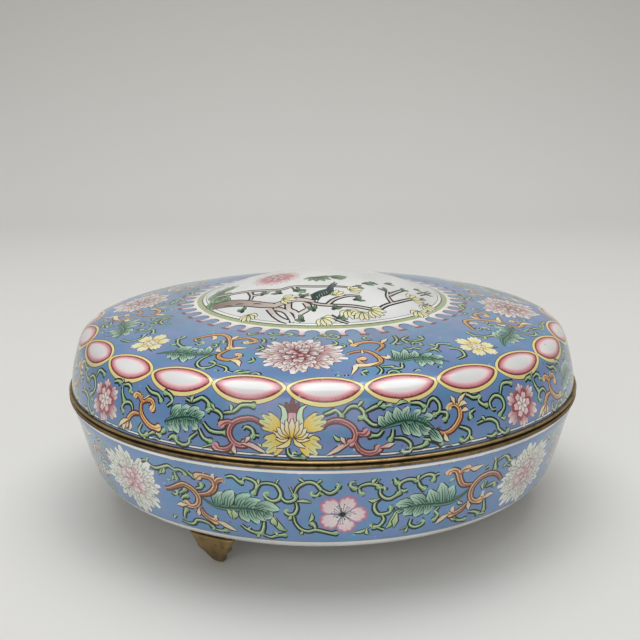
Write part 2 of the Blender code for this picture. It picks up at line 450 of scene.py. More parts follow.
# A lotus seen from the side, its middle at (0, 14) of the band: its stem, wide outer petals, folded
# ones over them, small red tips below, the seed head with its sepals, and a fan of upright petals
def lotus(painting, place):
    stem = [[(-1.3, 18.4), (-0.9, 20.3), (1.0, 21.4), (4.4, 20.9)], [(0.2, 20.9), (0.6, 19.8), (1.5, 20.0)]]
    brush(painting, place, stem, 0.8, "vine", 1.2)
    wings = [((-0.8, 13.4), -2.74, 10.4, 0.44), ((0.8, 13.2), -0.4, 10.8, 0.42),
             ((-0.2, 14.2), 2.6, 10.2, 0.54), ((0.4, 14.2), 0.56, 10.0, 0.56)]
    for middle, turn, length, spread in wings:
        petal(painting, place, middle, turn, length, spread, 4, "strongYellow", "vineLight", edge="brown",
              notch=0.2, rim=0.34, fall=0.3, blend=(0.35, 1.0))
        for side in (-0.6, -0.2, 0.3):
            way = toward(turn + side * spread) * length
            stroke(painting, place, [np.array(middle) + way * 0.62, np.array(middle) + way * 0.88],
                   (0.24, 0.16), "brown", smooth=False, cover=0.6)
    folds = [[(-1, 14.2), (-3.4, 14.6), (-6.0, 13.4)], [(1, 14.2), (3.4, 14.8), (6.6, 14.0)],
             [(-0.6, 15), (-1.6, 17.4), (-4.8, 18.4)], [(0.8, 15), (1.8, 17.0), (4.2, 18.2)],
             [(-0.6, 14.6), (-2.6, 16.0), (-5.0, 15.6)], [(0.8, 14.6), (2.8, 15.8), (5.6, 15.6)]]
    for path in folds:
        stroke(painting, place, path, (0.7, 1.5, 1.0, 0.2), "brown", grow=0.6)
        stroke(painting, place, path, (0.6, 1.5, 1.0, 0.1), "yellow", "cream")
    for turn in (-2.5, -2.05, -1.57, -1.1, -0.65):
        long = 5.6 if turn == -1.57 else 4.8
        petal(painting, place, (0, 8.6), turn, long, 0.22, 1, "brown", "crimson", edge="outline", rim=0.2)
    seedHead = [(0, 12.8), (0, 10.0), (0, 7.6)]
    stroke(painting, place, seedHead, (2.4, 3.8, 3.6, 2.0), "brown", grow=0.7)
    stroke(painting, place, seedHead, (2.4, 3.8, 3.6, 2.0), "palePink", "pink")
    stroke(painting, place, [(0.3, 12.4), (0.5, 10.0), (0.3, 8.2)], (0.3, 0.7, 0.2), "rose", cover=0.6)
    for side in (-1, 1):
        path = [(side * 1.2, 12.6), (side * 2.6, 10.8), (side * 2.3, 8.4), (side * 3.0, 6.2),
                (side * 4.6, 5.2)]
        stroke(painting, place, path, (1.2, 1.9, 1.5, 0.2), "outline", grow=0.7)
        stroke(painting, place, path, (1.2, 1.9, 1.5, 0.1), "leafPale", "vineLight")
    for turn in (-2.9, -0.25, -2.55, -0.6, -2.2, -0.95, -1.9, -1.25, -1.57):
        length = 5.8 - 0.8 * abs(turn + 1.57)
        base = np.array([0.5 * (turn + 1.57), 15.0])
        tip = base + length * toward(turn)
        bow = (base + tip) / 2 + np.array([0.4 * (turn + 1.57), 0.2])
        stroke(painting, place, [base, bow, tip], (0.6, 2.1, 1.9, 0.2), "brown", grow=0.55)
        stroke(painting, place, [base, bow, tip], (0.6, 2.1, 1.9, 0.1), "strongYellow", "cream")


# A pink flower from above: long white-tipped petals, a crimson star and two rows of small petals
def pinkFlower(painting, place):
    for turn, long in zip(ring(6, -1.6), (7.2, 8.4, 9.2, 8.0, 9.0, 8.0)):
        petal(painting, place, (0, 0), turn, long, 0.42, 3, "rose", "white", edge="rose", notch=0.16,
              rim=0.24, blend=(0.42, 0.98))
        for side in (-0.2, 0.16):
            way = toward(turn + side) * long
            stroke(painting, place, [way * 0.6, way * 0.9], (0.4, 0.1), "rose", smooth=False, cover=0.7)
    for turn in ring(6, -1.1):
        petal(painting, place, (0, 0), turn, 5.9, 0.42, 2, "crimson", "rose", notch=0.1)
    for turn in ring(6, -1.1):
        petal(painting, place, (0, 0), turn, 4.5, 0.4, 2, "pink", "palePink", edge="crimson", notch=0.12,
              rim=0.3)
    for turn in ring(6, -0.6):
        petal(painting, place, (0, 0), turn, 2.7, 0.4, 1, "palePink", "white", edge="crimson", rim=0.22)
    blob(painting, place, (0, 0), (0.6, 0.6), "vine", points=8)


# The medallions: radii in mm, s down the outline, steps of (inset, ink) from the edge to the middle
medallions = {
    "count": 24,
    "first": 0.5,  # degrees
    "s": 94.8,
    "radius": 92.4,
    "radii": (12.05, 5.4),
    "drop": 0.5,
    "bristles": 64,
    "steps": [(0.9, "crimson"), (1.15, "rose"), (1.4, "rosePale"), (1.75, "pink"), (2.2, "pinkWhite"),
              (2.7, "palePink"), (3.3, "panelWhite")],
}


# A pointed lens: x = rx cos t, y = ry h + drop max(h, 0) with h = sin t |sin t|^0.3
def lens(radii, drop=0.0, points=36):
    angle = np.linspace(0, 2 * math.pi, points, endpoint=False)
    half = np.sin(angle) * np.abs(np.sin(angle)) ** 0.3
    return np.stack([radii[0] * np.cos(angle), radii[1] * half + drop * np.maximum(half, 0)], axis=1)


# Each is a pale frame with dark edges, a lens that pales in steps, and fine bristles from its edge in
def paintMedallions(painting, rng):
    rx, ry = medallions["radii"]
    drop = medallions["drop"]
    for number in range(medallions["count"]):
        azimuth = medallions["first"] + number * 360 / medallions["count"]
        place = onBand(azimuth, medallions["radius"], base=medallions["s"])
        painting.fill(place(lens((rx + 0.35, ry + 0.3), drop)), "brown")
        painting.fill(place(lens((rx + 0.15, ry + 0.05), drop)), "paleYellow")
        painting.fill(place(lens((rx - 1.0, ry - 0.75))), "brown")
        for inset, ink in medallions["steps"]:
            painting.fill(place(lens((rx - 1.5 * inset, ry - inset), 0, 26)), ink)
        count = medallions["bristles"]
        for turn in np.linspace(0, 2 * math.pi, count, endpoint=False) + rng.uniform(-0.04, 0.04, count):
            swell = abs(math.sin(turn)) ** 0.3
            edge = np.array([math.cos(turn) * (rx - 1.4), math.sin(turn) * swell * (ry - 1.1)])
            depth = rng.uniform(0.12, 0.42)
            tip = edge * np.array([1 - depth * 0.5, 1 - depth])
            across = np.array([-math.sin(turn) * rx, math.cos(turn) * ry])
            across *= rng.uniform(0.12, 0.3) / np.linalg.norm(across)
            points = place(np.array([edge - across, tip, edge + across]))
            ink = "crimson" if rng.random() < 0.6 else "rose"
            painting.fill(points, ink, "pink", (points[0] + points[2]) / 2, points[1], cover=0.85, fade=0.3)


# Bands of the lappet ring are (radius, ink) from the outside in
lappets = {
    "count": 48,
    "radius": 56.0,
    "bands": [(53.8, "palePink"), (52.0, "white"), (50.9, "moss")],
    "tip": [(0, 52), (0, 54.8), (0, 56.4), (0, 58.3)],
    "tipWidths": (3.2, 1.8, 1.7, 2.4, 0.8),
    "flecks": 96,
}


# Discs, each over the last, which leave lines round the box
def paintBands(painting, bands):
    for radius, ink in bands:
        painting.fill(circle(radius), ink)


# White tips with crimson ends between round blue lappets, then green flecks on the inner band
def paintLappets(painting):
    seam = lidLook["seam"]
    # the top's ground: paler and greyer toward the middle, a painted sheen where the lid faces up, turning to
    # the side's blue at the seam
    painting.fill(circle(seam + 0.5), "paintedSheenBlue", "blue", end=(seam, 0), oval=1.0)
    paintBands(painting, lappets["bands"])
    step = 360 / lappets["count"]
    for number in range(lappets["count"]):
        place = onBand(step * number, lappets["radius"])
        stroke(painting, place, lappets["tip"], lappets["tipWidths"], "white", "pink")
        for side in (-0.8, 0.8):
            blob(painting, place, (side, 58.0), (1.05, 0.85), "crimson", points=9)
        place = onBand(step * (number + 0.5), lappets["radius"])
        blob(painting, place, (0, 54.8), (2.8, 2.65), "outline")
        # the lappets' blue is the paler blue of that painted sheen
        blob(painting, place, (0, 55.2), (2.6, 2.65), "lappetSheenBlue")
    for turn in ring(lappets["flecks"], 0.03):
        way = np.array([math.sin(turn), -math.cos(turn)])
        side = np.array([way[1], -way[0]])
        corners = ((49.2, -0.4), (50.6, -0.5), (50.3, 0.4), (49.1, 0.7))
        fleck = [way * s + side * aside for s, aside in corners]
        painting.fill(fleck, "vine", cover=0.5)


# Paths of the lid's side, (along, down) in mm from the middle of a lotus; the left ones run to the
# pink flower before it and the right ones to the pink flower after it
lidSide = {
    "base": 95.0,
    "radius": 98.0,
    "lotus": (-5.6, 84.4, 174.4, 264.4),  # degrees
    "pink": (-49.2, 42.5, 130.0, 218.0),
    "pinkDown": 13.6,
    "leftSpan": -74.6,
    "rightSpan": 82.3,
    "vineWidth": 0.86,
    "leafWidth": 2.3,
}
lidSide["left"] = {
    "vine": [
        [(-36.4, 6.2), (-34.2, 6.7), (-32.3, 5.9), (-30.5, 5), (-28.3, 5.9), (-27.2, 7.7)],
        [(-23.6, 12), (-22.7, 10.3), (-23.9, 8.8), (-26.7, 8.1), (-28.4, 9.1)],
        [(-22.3, 8.9), (-18.9, 8.1), (-16.7, 6.2), (-14.2, 5.8), (-11.7, 5.9)],
        [(-31.1, 16.2), (-33.6, 18.4), (-33.9, 20), (-36.1, 20.9), (-38.6, 20), (-38.8, 18.4)],
        [(-30.5, 14.7), (-28.6, 17.5), (-25.5, 18.4)], [(-29.2, 12.5), (-26.1, 15), (-20.5, 15)],
        [(-15.5, 13.4), (-14.5, 12.5), (-12.7, 13.1), (-12, 14.7), (-12.7, 15.9)],
        [(-12, 15), (-10.2, 15)], [(-41.7, 20), (-40.5, 18.8), (-38.8, 18.8)],
        [(-21.7, 20), (-19.8, 20.9), (-18, 20)], [(-70.8, 6.6), (-68.6, 5.8), (-66.5, 6.2)],
        [(-64.9, 6.4), (-62.4, 5.8), (-60.8, 6.9), (-61.3, 8.3)],
        [(-65.5, 7.2), (-64.9, 9.4), (-63.6, 11.2), (-63, 11.9)],
        [(-58.3, 13.8), (-59, 12.2), (-60.5, 11.4), (-62.7, 11.9), (-64, 13.4), (-63.6, 14.7),
         (-62.4, 15)],
        [(-53.3, 16.9), (-54.6, 19.4), (-53.6, 20.8), (-52.1, 20.9), (-50.5, 19.7)],
        [(-50.2, 20), (-47.7, 18.8), (-44.6, 19.7)],
        [(-53.6, 4.7), (-51.1, 6.2), (-47.7, 6.6), (-45.8, 8.8)],
        [(-49.3, 17.5), (-47.1, 18.8), (-44.9, 18.4), (-43.3, 16.9)],
        [(-43.5, 9.5), (-41.5, 7.6), (-43, 5.8), (-45.6, 5.4)]],
    "leaflet": [
        [(-25.5, 8.1), (-26.1, 7.2), (-27, 6.4)], [(-19.8, 8.1), (-19.8, 6.9), (-20.5, 5.9)],
        [(-29.2, 20.6), (-27.7, 20), (-25.5, 19.1)], [(-18, 20), (-18.9, 19.1), (-19.6, 18.4)],
        [(-10.5, 17.5), (-9.2, 18.4), (-7.7, 17.5)], [(-66.5, 6.2), (-65.8, 5.3), (-65, 4.6)],
        [(-60.8, 7.5), (-59.9, 8.1), (-59, 8)], [(-52.4, 20.9), (-52.1, 21.5), (-51.4, 21.8)],
        [(-47.7, 18.9), (-47.1, 17.8), (-46.2, 17.2)], [(-34.2, 6.7), (-34.2, 5.6), (-33.4, 4.6)]],
    "coral": [
        [(-8.6, 12.2), (-10.5, 10.6), (-13, 9.8), (-15.8, 10.2), (-18.3, 11.2), (-19.8, 13.1),
         (-20, 15.3), (-18.6, 17.5), (-16.1, 18.4), (-14.1, 17.2)],
        [(-18.6, 11.9), (-20.8, 11.6), (-22.7, 12.5), (-23.3, 13.4)],
        [(-18.6, 18.1), (-20.5, 20), (-23.3, 20.3), (-25.2, 18.8)]],
    "coralTips": [
        [(-16, 17.8), (-12.9, 18), (-10.5, 19.1), (-7.6, 20.4)],
        [(-14.6, 17.4), (-13.9, 16.2), (-13, 15.6)],
        [(-18.2, 18.4), (-18.3, 20), (-17.6, 21.3)]],
    "gold": [
        [(-54.3, 9.4), (-54.7, 11.2), (-54.3, 13.4), (-52.7, 15.3), (-49.9, 17), (-47.1, 17.3),
         (-45.2, 16.6)],
        [(-54.3, 10.3), (-52.7, 9.1), (-50.5, 8.8), (-49.1, 10.3), (-50.1, 12.2)],
        [(-54.4, 10.3), (-55.8, 8.4), (-57.7, 8), (-58.3, 9.4)],
        [(-55.1, 14.1), (-57.7, 14.4), (-59.6, 15.9), (-60.8, 18.1), (-61.3, 19.7)]],
    "goldTips": [
        [(-54.3, 9.1), (-54.7, 8), (-55.2, 7)], [(-54, 9.1), (-52.7, 8.1), (-51.6, 7.4)],
        [(-59.9, 16.9), (-63, 18.4), (-65.2, 20.6)], [(-59, 17.5), (-58.6, 19.1), (-59.3, 20.6)],
        [(-61.1, 18.8), (-62.4, 20), (-62.2, 21.2)]],
    "rib": [(-43.6, 14.7), (-40.5, 13.1), (-37.3, 12.2), (-34.2, 11.6), (-31.4, 11.9), (-29.2, 13.1)],
    "lobes": [
        [(-40.8, 12.5), (-39.8, 10.3), (-38, 8.4)], [(-37.3, 11.9), (-36.7, 9.7), (-34.1, 8.6)],
        [(-34.5, 11.6), (-33, 9.7), (-31.1, 8.4)], [(-32, 11.8), (-30.8, 10.4), (-28.9, 9.8)],
        [(-41.8, 13.4), (-41.9, 15.4), (-40.2, 16.8)], [(-38.9, 12.8), (-39.2, 15.3), (-37.9, 17.2)],
        [(-35.5, 12.3), (-35.8, 14.7), (-34.5, 16)], [(-32.7, 12.3), (-32.3, 14.1), (-31, 15)]],
}
lidSide["right"] = {
    "vine": [
        [(9.6, 8.1), (11.5, 7.5), (13.6, 6.7), (15.2, 8.1), (15.5, 9.4)],
        [(15.8, 8.1), (18, 5.9), (20.5, 5.8), (22.4, 7.5), (22.1, 9.4), (20.7, 8.9)],
        [(23, 7.5), (26.8, 5.9), (29.6, 6.2)], [(28.3, 11.9), (25.2, 11.6), (23, 9.7), (22.4, 8.4)],
        [(28.3, 13.4), (26.5, 15), (23.3, 14.7)], [(37.7, 5.9), (40.8, 6.2), (43, 8.1)],
        [(43.3, 7.8), (44.3, 5.9), (46.1, 5.3), (47.7, 7.2), (47.4, 9.7), (44.9, 10.6)],
        [(47.1, 9.7), (49.9, 10.3), (49.9, 11.9), (48.3, 12.5)],
        [(31.5, 13.4), (31.1, 15.6), (29.9, 17.2)],
        [(31.8, 16.2), (34.6, 16.6), (36.8, 18.4), (36.5, 20.6), (34.6, 21.2), (34.3, 20)],
        [(37.4, 20), (40.8, 19.7), (42.7, 18.4)], [(41.1, 17.5), (44.6, 18.4), (48, 20)],
        [(54, 15.3), (57.4, 16.9), (57.7, 18.8), (55.8, 20.3), (54, 19.4)],
        [(60.8, 10.9), (58.6, 11.9), (59, 13.8)], [(56.5, 5.6), (58.6, 5.9), (60.8, 7.2), (64, 7.2)],
        [(64, 7.2), (62.8, 8.4), (64.3, 10), (66.5, 10.6)],
        [(69.6, 12.5), (67.8, 12.2), (67.3, 9.7), (69.9, 8.1), (72.8, 9.4), (73.4, 12.5), (70.3, 15)],
        [(60.9, 15.6), (64.3, 15), (67.1, 15.3), (69.3, 16.9), (69.9, 19.1), (72.8, 21.2), (74.6, 20)],
        [(64.6, 20.3), (66.8, 20.9), (69, 20.3)], [(72.4, 8.1), (74, 5.3), (76.5, 5), (79.3, 5.9)]],
    "leaflet": [
        [(20.5, 5.8), (21.5, 4.7), (22.6, 4)], [(26.8, 5.9), (27.7, 5), (28.9, 4.4)],
        [(29.6, 6.2), (31.1, 5.9), (32.1, 6.6)], [(43, 7.8), (42.1, 8.8), (41, 9)],
        [(57.7, 18.8), (58.6, 20), (59.8, 20.2)], [(37.4, 20), (36.5, 20.9), (35.4, 21.4)],
        [(71.2, 15.6), (72.8, 16.2), (74, 15.6)], [(64.3, 15), (63.7, 14.1), (62.8, 13.6)],
        [(12.8, 14.4), (14, 15.6), (15.5, 16)], [(33.2, 6), (35, 5.2), (37, 5.6)]],
    "coral": [
        [(9.3, 12.2), (10.8, 10.6), (13.3, 9.8), (16.1, 10.3), (18.6, 11.9), (19.6, 14.1), (19, 16.2),
         (17.1, 17.2)],
        [(19.3, 16.2), (20.5, 18.8), (23, 20.3), (25.8, 20), (27.1, 18.1)],
        [(20.2, 13.8), (22.1, 14.4), (23.6, 13)]],
    "coralTips": [
        [(17.6, 17), (15.2, 17.9), (13.3, 19.2), (10.6, 20.6)], [(16.4, 17.2), (15.8, 16), (15, 15)],
        [(27.1, 18.8), (29.6, 18.4), (31.8, 17.8)]],
    "gold": [
        [(45.5, 15), (48, 16.6), (50.8, 16.2), (53.3, 14.4), (54.9, 11.9), (54.7, 9.4), (53, 8),
         (51.1, 8.4), (50.8, 9.7)]],
    "goldTips": [
        [(54.6, 8.4), (55.5, 6.9), (58, 5.3)], [(54.6, 9.1), (56.5, 8.1), (58, 8.8)],
        [(53.3, 8.1), (53, 6.6), (52.2, 5.4)],
        [(48.6, 16.6), (49, 18.4), (50, 19.4)], [(55.5, 10.6), (57.1, 10.3), (58.2, 10.8)]],
    "rib": [(27.1, 13.1), (30.8, 11.9), (34.6, 11.2), (38.3, 11.4), (41.5, 12.6), (44.3, 14.7),
            (46.6, 18)],
    "lobes": [
        [(29.6, 12.2), (28, 10.6), (27.2, 9.2)], [(31.9, 11.6), (30.4, 9.7), (29.9, 7.8)],
        [(34.3, 11.1), (33.2, 8.8), (32.9, 6.9)], [(36.5, 11.1), (35.9, 8.8), (37, 7)],
        [(38.8, 11.3), (39.2, 9.4), (40.9, 8.6)], [(41.5, 12.5), (42.7, 10.9), (44.9, 10.8)],
        [(34.6, 11.7), (35.5, 13.4), (36.7, 15.6)], [(37.7, 12.1), (38.6, 14.4), (40.4, 16.4)],
        [(40.8, 13.1), (42.1, 14.8), (44.3, 15.6)], [(43.6, 15), (45.5, 17.2), (47.6, 19)]],
}


# One half of a repeat: the vines, the warm scrolls and the acanthus leaf, with their leaflets
def paintHalf(painting, place, half, width, leafWidth):
    brush(painting, place, half["vine"], width, "vine", 1.1)
    leaflets(painting, place, half["leaflet"], 1.15 * width, "vine")
    if "gold" in half:
        brush(painting, place, half["gold"], 1.5 * width, "gold", 1.0)
        leaflets(painting, place, half["goldTips"], 1.6 * width, "gold")
    acanthus(painting, place, half["rib"], half["lobes"], leafWidth)
    if "coral" in half:
        brush(painting, place, half["coral"], 1.5 * width, "coral", 1.0)
        leaflets(painting, place, half["coralTips"], 1.6 * width, "coral")
    if "rust" in half:
        leaflets(painting, place, half["bigLeaflet"], 2.2 * width, "vine")
        brush(painting, place, half["rust"], 1.7 * width, "rust", 1.0)
        leaflets(painting, place, half["rustTips"], 2.0 * width, "rust")


# Halves are stretched between the flowers that they join: a point x of the span lies at the angle
# first + (last - first) x / span, and y at the length base + down y
def between(first, last, span, base, down=1.0):
    gap = math.radians((last - first + 180) % 360 - 180)

    def place(points):
        angle = math.radians(first) + gap * points[:, 0] / span
        s = base + down * points[:, 1]
        return onDisc(s, angle)
    return place


# Four repeats, each a lotus with a half to both sides and a pink flower
def paintLidSide(painting):
    radius, base = lidSide["radius"], lidSide["base"]
    for number in range(4):
        middle = lidSide["lotus"][number]
        before = lidSide["pink"][number]
        after = lidSide["pink"][(number + 1) % 4]
        for side, flower in (("left", before), ("right", after)):
            place = between(middle, flower, lidSide[side + "Span"], base)
            paintHalf(painting, place, lidSide[side], lidSide["vineWidth"], lidSide["leafWidth"])
        lotus(painting, onBand(middle, radius, base=base))
        pinkFlower(painting, onBand(before, radius, base=base + lidSide["pinkDown"]))


# Paths of the lid's top, (across, outward) in mm from the middle of a peony
lidTop = {
    "s": 76.2,
    "peony": -5.5,  # degrees
    "peonyS": 75.0,
    "size": 13.2,
    "stretch": 1.3,
    "blossom": -48.6,
    "blossomS": 81.0,
    "blossomSize": 7.6,
    "vineWidth": 0.75,
    "leafWidth": 2.2,
    "goldWidth": 1.2,
    "tipWidth": 1.8,
    "gold": [
        [(-40.1, -17.1), (-34.7, -19.3), (-30.9, -19.9), (-27.9, -17.7), (-26.3, -14), (-25.5, -10.1),
         (-25.1, -6.3)],
        [(-25.1, -6.3), (-27.8, -2.6), (-27, 0.3), (-23.5, 1.7), (-20.5, 0.3), (-20.8, -1.9), (-22.4, -2)],
        [(-25.3, -14), (-21, -15.6), (-18.6, -14.7), (-16.7, -12.1), (-19.4, -10.7), (-20.6, -12.3)],
        [(15.4, -3.5), (18, -5.4), (21.8, -6.3), (25.4, -3.3), (26.6, 0.5), (23.8, 3.3), (20.4, 2.5),
         (19.3, 0.1), (21.7, -1.3)],
        [(25.1, -7.2), (26.9, -11.3), (25.5, -13.9), (21.6, -14.1), (18.4, -12.1), (16.4, -9.7)]],
    "goldTips": [
        [(-33.5, -18.6), (-31.9, -16.8), (-33, -14.8)], [(-25.1, -6), (-22.4, -7.1), (-19, -6.8)],
        [(-23.5, 1.4), (-20.6, 3.1), (-19.4, 6.6)], [(-25.8, -14), (-24.9, -16.3), (-23.7, -17.6)],
        [(26.6, 0.5), (22.7, 3.4), (18.9, 4.4), (18.6, 6.8), (17.6, 10.6)],
        [(-27.6, -4.6), (-29.2, -6), (-28.6, -8)],
        [(20, -7.2), (20.1, -6.1), (20.4, -4.6)], [(16.8, -11.4), (15.7, -14.1), (15, -15.6)],
        [(26.5, -3.4), (29.4, -2.6), (28.6, -5)], [(26.1, -13.4), (27.5, -16.9), (28.2, -18)]],
    "vine": [
        [(-28.2, -3.7), (-32.4, -1.4), (-34.3, 2.4), (-32.9, 5.7), (-29.5, 6.2), (-27.9, 3.8), (-29.9, 2)],
        [(-27.4, 4.6), (-23.8, 7), (-23.6, 9.5), (-26.3, 10.3), (-27.2, 8.2)],
        [(-23.6, 8.7), (-20.7, 10.6), (-15.4, 10.1)],
        [(25.5, 3.4), (27.2, 6), (26.1, 9.5), (22.9, 10.6), (20.9, 8.6), (22.6, 7.1)],
        [(30.3, -22.2), (31.6, -17.8), (30.1, -13.2)], [(35.3, -22.1), (33.4, -18.6), (35.4, -16)],
        [(33.5, -0.2), (33.6, 3.2), (31.2, 4)], [(27.2, 3.8), (29.9, 3), (31.1, 3.4)],
        [(-38, -12.8), (-36.7, -11.3), (-35.2, -12.5), (-36.4, -14.1)],
        [(-29.5, -12), (-28.1, -11.5), (-28.6, -13.7)],
        [(-15.3, -15), (-14, -12.9), (-14.3, -10.6)], [(-11.2, -13.2), (-10.9, -15.4), (-12.6, -15.8)],
        [(-14.7, -8.4), (-13.4, -6.3), (-15.5, -4.9)], [(-16, 0.7), (-15.3, 2.8), (-16.9, 3.6)],
        [(9.9, -13.5), (11.3, -11.4), (10.3, -9.7)], [(3.1, -14.6), (4, -16.9), (5.7, -17)],
        [(34.1, -12), (35.9, -11), (37.4, -12.3), (39.7, -11.9)],
        [(42, -11), (45, -14.7), (45.8, -18.1), (50.1, -19.1)], [(46.4, -11.5), (45.1, -13), (43.4, -13.6)],
        [(-45.8, -18.8), (-44.8, -13.8), (-42.2, -10.2)], [(-46.8, -17), (-44.7, -18.3), (-43.6, -20)],
        [(-44, 2.4), (-42.4, 5), (-44.6, 6.6), (-46.6, 5)], [(43.4, 2.2), (45.8, 1.2), (46.6, -1)],
        [(4, -18.6), (7.6, -20.6), (11.4, -18.4), (10.2, -15.6), (7.4, -16.6)],
        [(-3, -18.2), (-7.4, -20.4), (-11.6, -19.2), (-13.6, -21)],
        [(33, -19.5), (37.4, -18.6), (40.6, -20.8), (39.2, -23.2)],
        [(33, 6.6), (37.2, 9.6), (41.8, 8.2), (43.6, 4.6)], [(46, 6.2), (50.4, 5.2), (52.6, 1.4), (50.2, -1)],
        [(-35.4, 9.4), (-39.8, 10.4), (-42.6, 8.2)], [(-48.4, 1), (-52, 3.6), (-50.6, 7.2), (-46.8, 8.8)],
        [(52, -8), (54.6, -11.6), (53.2, -15.6), (49.6, -16)],
        [(-52.6, -10), (-55, -14), (-52.6, -18), (-49, -17)]],
    "curls": [(-31, 8.4, 2.6, 0.4), (31.6, 7.6, 2.4, 2.6), (-13.2, 12.4, 1.7, 3.4), (14.6, 11.6, 1.8, 5.6),
              (-37.4, -16.2, 1.9, 1.2), (-31.4, -9.6, 1.6, 4.2), (21.4, -17.8, 1.8, 0.6),
              (-6.4, -19.6, 1.6, 3.6),
              (7.2, -19.8, 1.6, 5.4), (38.6, -15.8, 1.9, 2.4), (-19.6, -20.4, 1.7, 0.2),
              (33.4, 9.6, 1.7, 5.0), (-41.8, 6.4, 1.9, 2.0), (12.8, -9.2, 1.5, 4.6), (39.6, 4.6, 2.0, 0.6)],
    "leaflet": [[(-20.7, 10.6), (-19.4, 9.2), (-17.6, 8.8)], [(31.1, -15), (32.6, -14.4), (33.8, -14.6)],
                [(-44.8, -14), (-46.4, -13.4), (-47.6, -14.4)], [(45, -15.6), (43.6, -16.6), (42, -16.4)]],
    "ribs": [[(28.4, -1.6), (32.8, -1.8), (37, -4.4), (41.3, -6.2), (45.8, -5.8), (49.3, -5)],
             [(-50.8, -7.1), (-45.8, -7.3), (-41.2, -5.8), (-36.6, -4), (-30.3, -2.4)]],
    "lobes": [
        [[(31.7, -2.2), (31.9, -6.2), (30.2, -8.5)], [(34.4, -3), (34.5, -7.5), (34.3, -10)],
         [(36.5, -4.4), (37.8, -7.8), (37.6, -9.8)], [(39.7, -5.8), (42.3, -8.3), (43.3, -9.5)],
         [(43, -6.1), (45.6, -8), (47.3, -7.9)], [(38.2, -4), (40.1, -1.9), (40, 0.6)],
         [(40.9, -4.8), (42.8, -2.7), (43.2, -1.1)], [(43.7, -5.1), (46.1, -3.6), (46.7, -2.6)]],
        [[(-43.5, -6.7), (-42.1, -9.1), (-38.8, -10)], [(-40.1, -5.9), (-38.7, -8.3), (-36.4, -8)],
         [(-34.9, -3.6), (-34.6, -6.5), (-35.8, -7.5)], [(-33.2, -3.2), (-32.4, -6.7), (-32.6, -9.2)],
         [(-45.8, -6.5), (-45, -4.3), (-46.1, -3.2)], [(-43.4, -5.6), (-43.2, -2.8), (-43.6, -1.1)],
         [(-40.6, -4.8), (-39.7, -1.5), (-39.4, 1.3)], [(-37.7, -3.9), (-37.5, -1.7), (-37.9, -0.6)]]],
}


# A small open curl: (x + r k cos(first + a), y + r k sin(first + a)), drawn in by k = 1 - 0.09 a over
# seven tenths of a turn
def curl(x, y, r, first):
    turn = np.linspace(0, 4.4, 6)
    drawn = r * (1 - 0.09 * turn)
    return np.stack([x + drawn * np.cos(first + turn), y + drawn * np.sin(first + turn)], axis=1)


# Four repeats, each a peony with scrolls and leaves to both sides and a yellow blossom
def paintLidTop(painting, rng):
    curls = [curl(*at) for at in lidTop["curls"]]
    for azimuth in (0, 90, 180, 270):
        place = onTop(lidTop["peony"] + azimuth, lidTop["s"])
        brush(painting, place, lidTop["vine"] + curls, lidTop["vineWidth"], "vine", 1.1)
        leaflets(painting, place, lidTop["leaflet"], 1.0, "vine")
        for rib, lobes in zip(lidTop["ribs"], lidTop["lobes"]):
            acanthus(painting, place, rib, lobes, lidTop["leafWidth"])
        brush(painting, place, lidTop["gold"], lidTop["goldWidth"], "gold", 1.1)
        leaflets(painting, place, lidTop["goldTips"], lidTop["tipWidth"], "gold")
        flower = onTop(lidTop["peony"] + azimuth, lidTop["peonyS"], lidTop["stretch"])
        peony(painting, flower, lidTop["size"], ("rose", "crimson", "white", "crimson"), rng)
        place = onTop(lidTop["blossom"] + azimuth, lidTop["blossomS"])
        yellowBlossom(painting, place, lidTop["blossomSize"], rng)


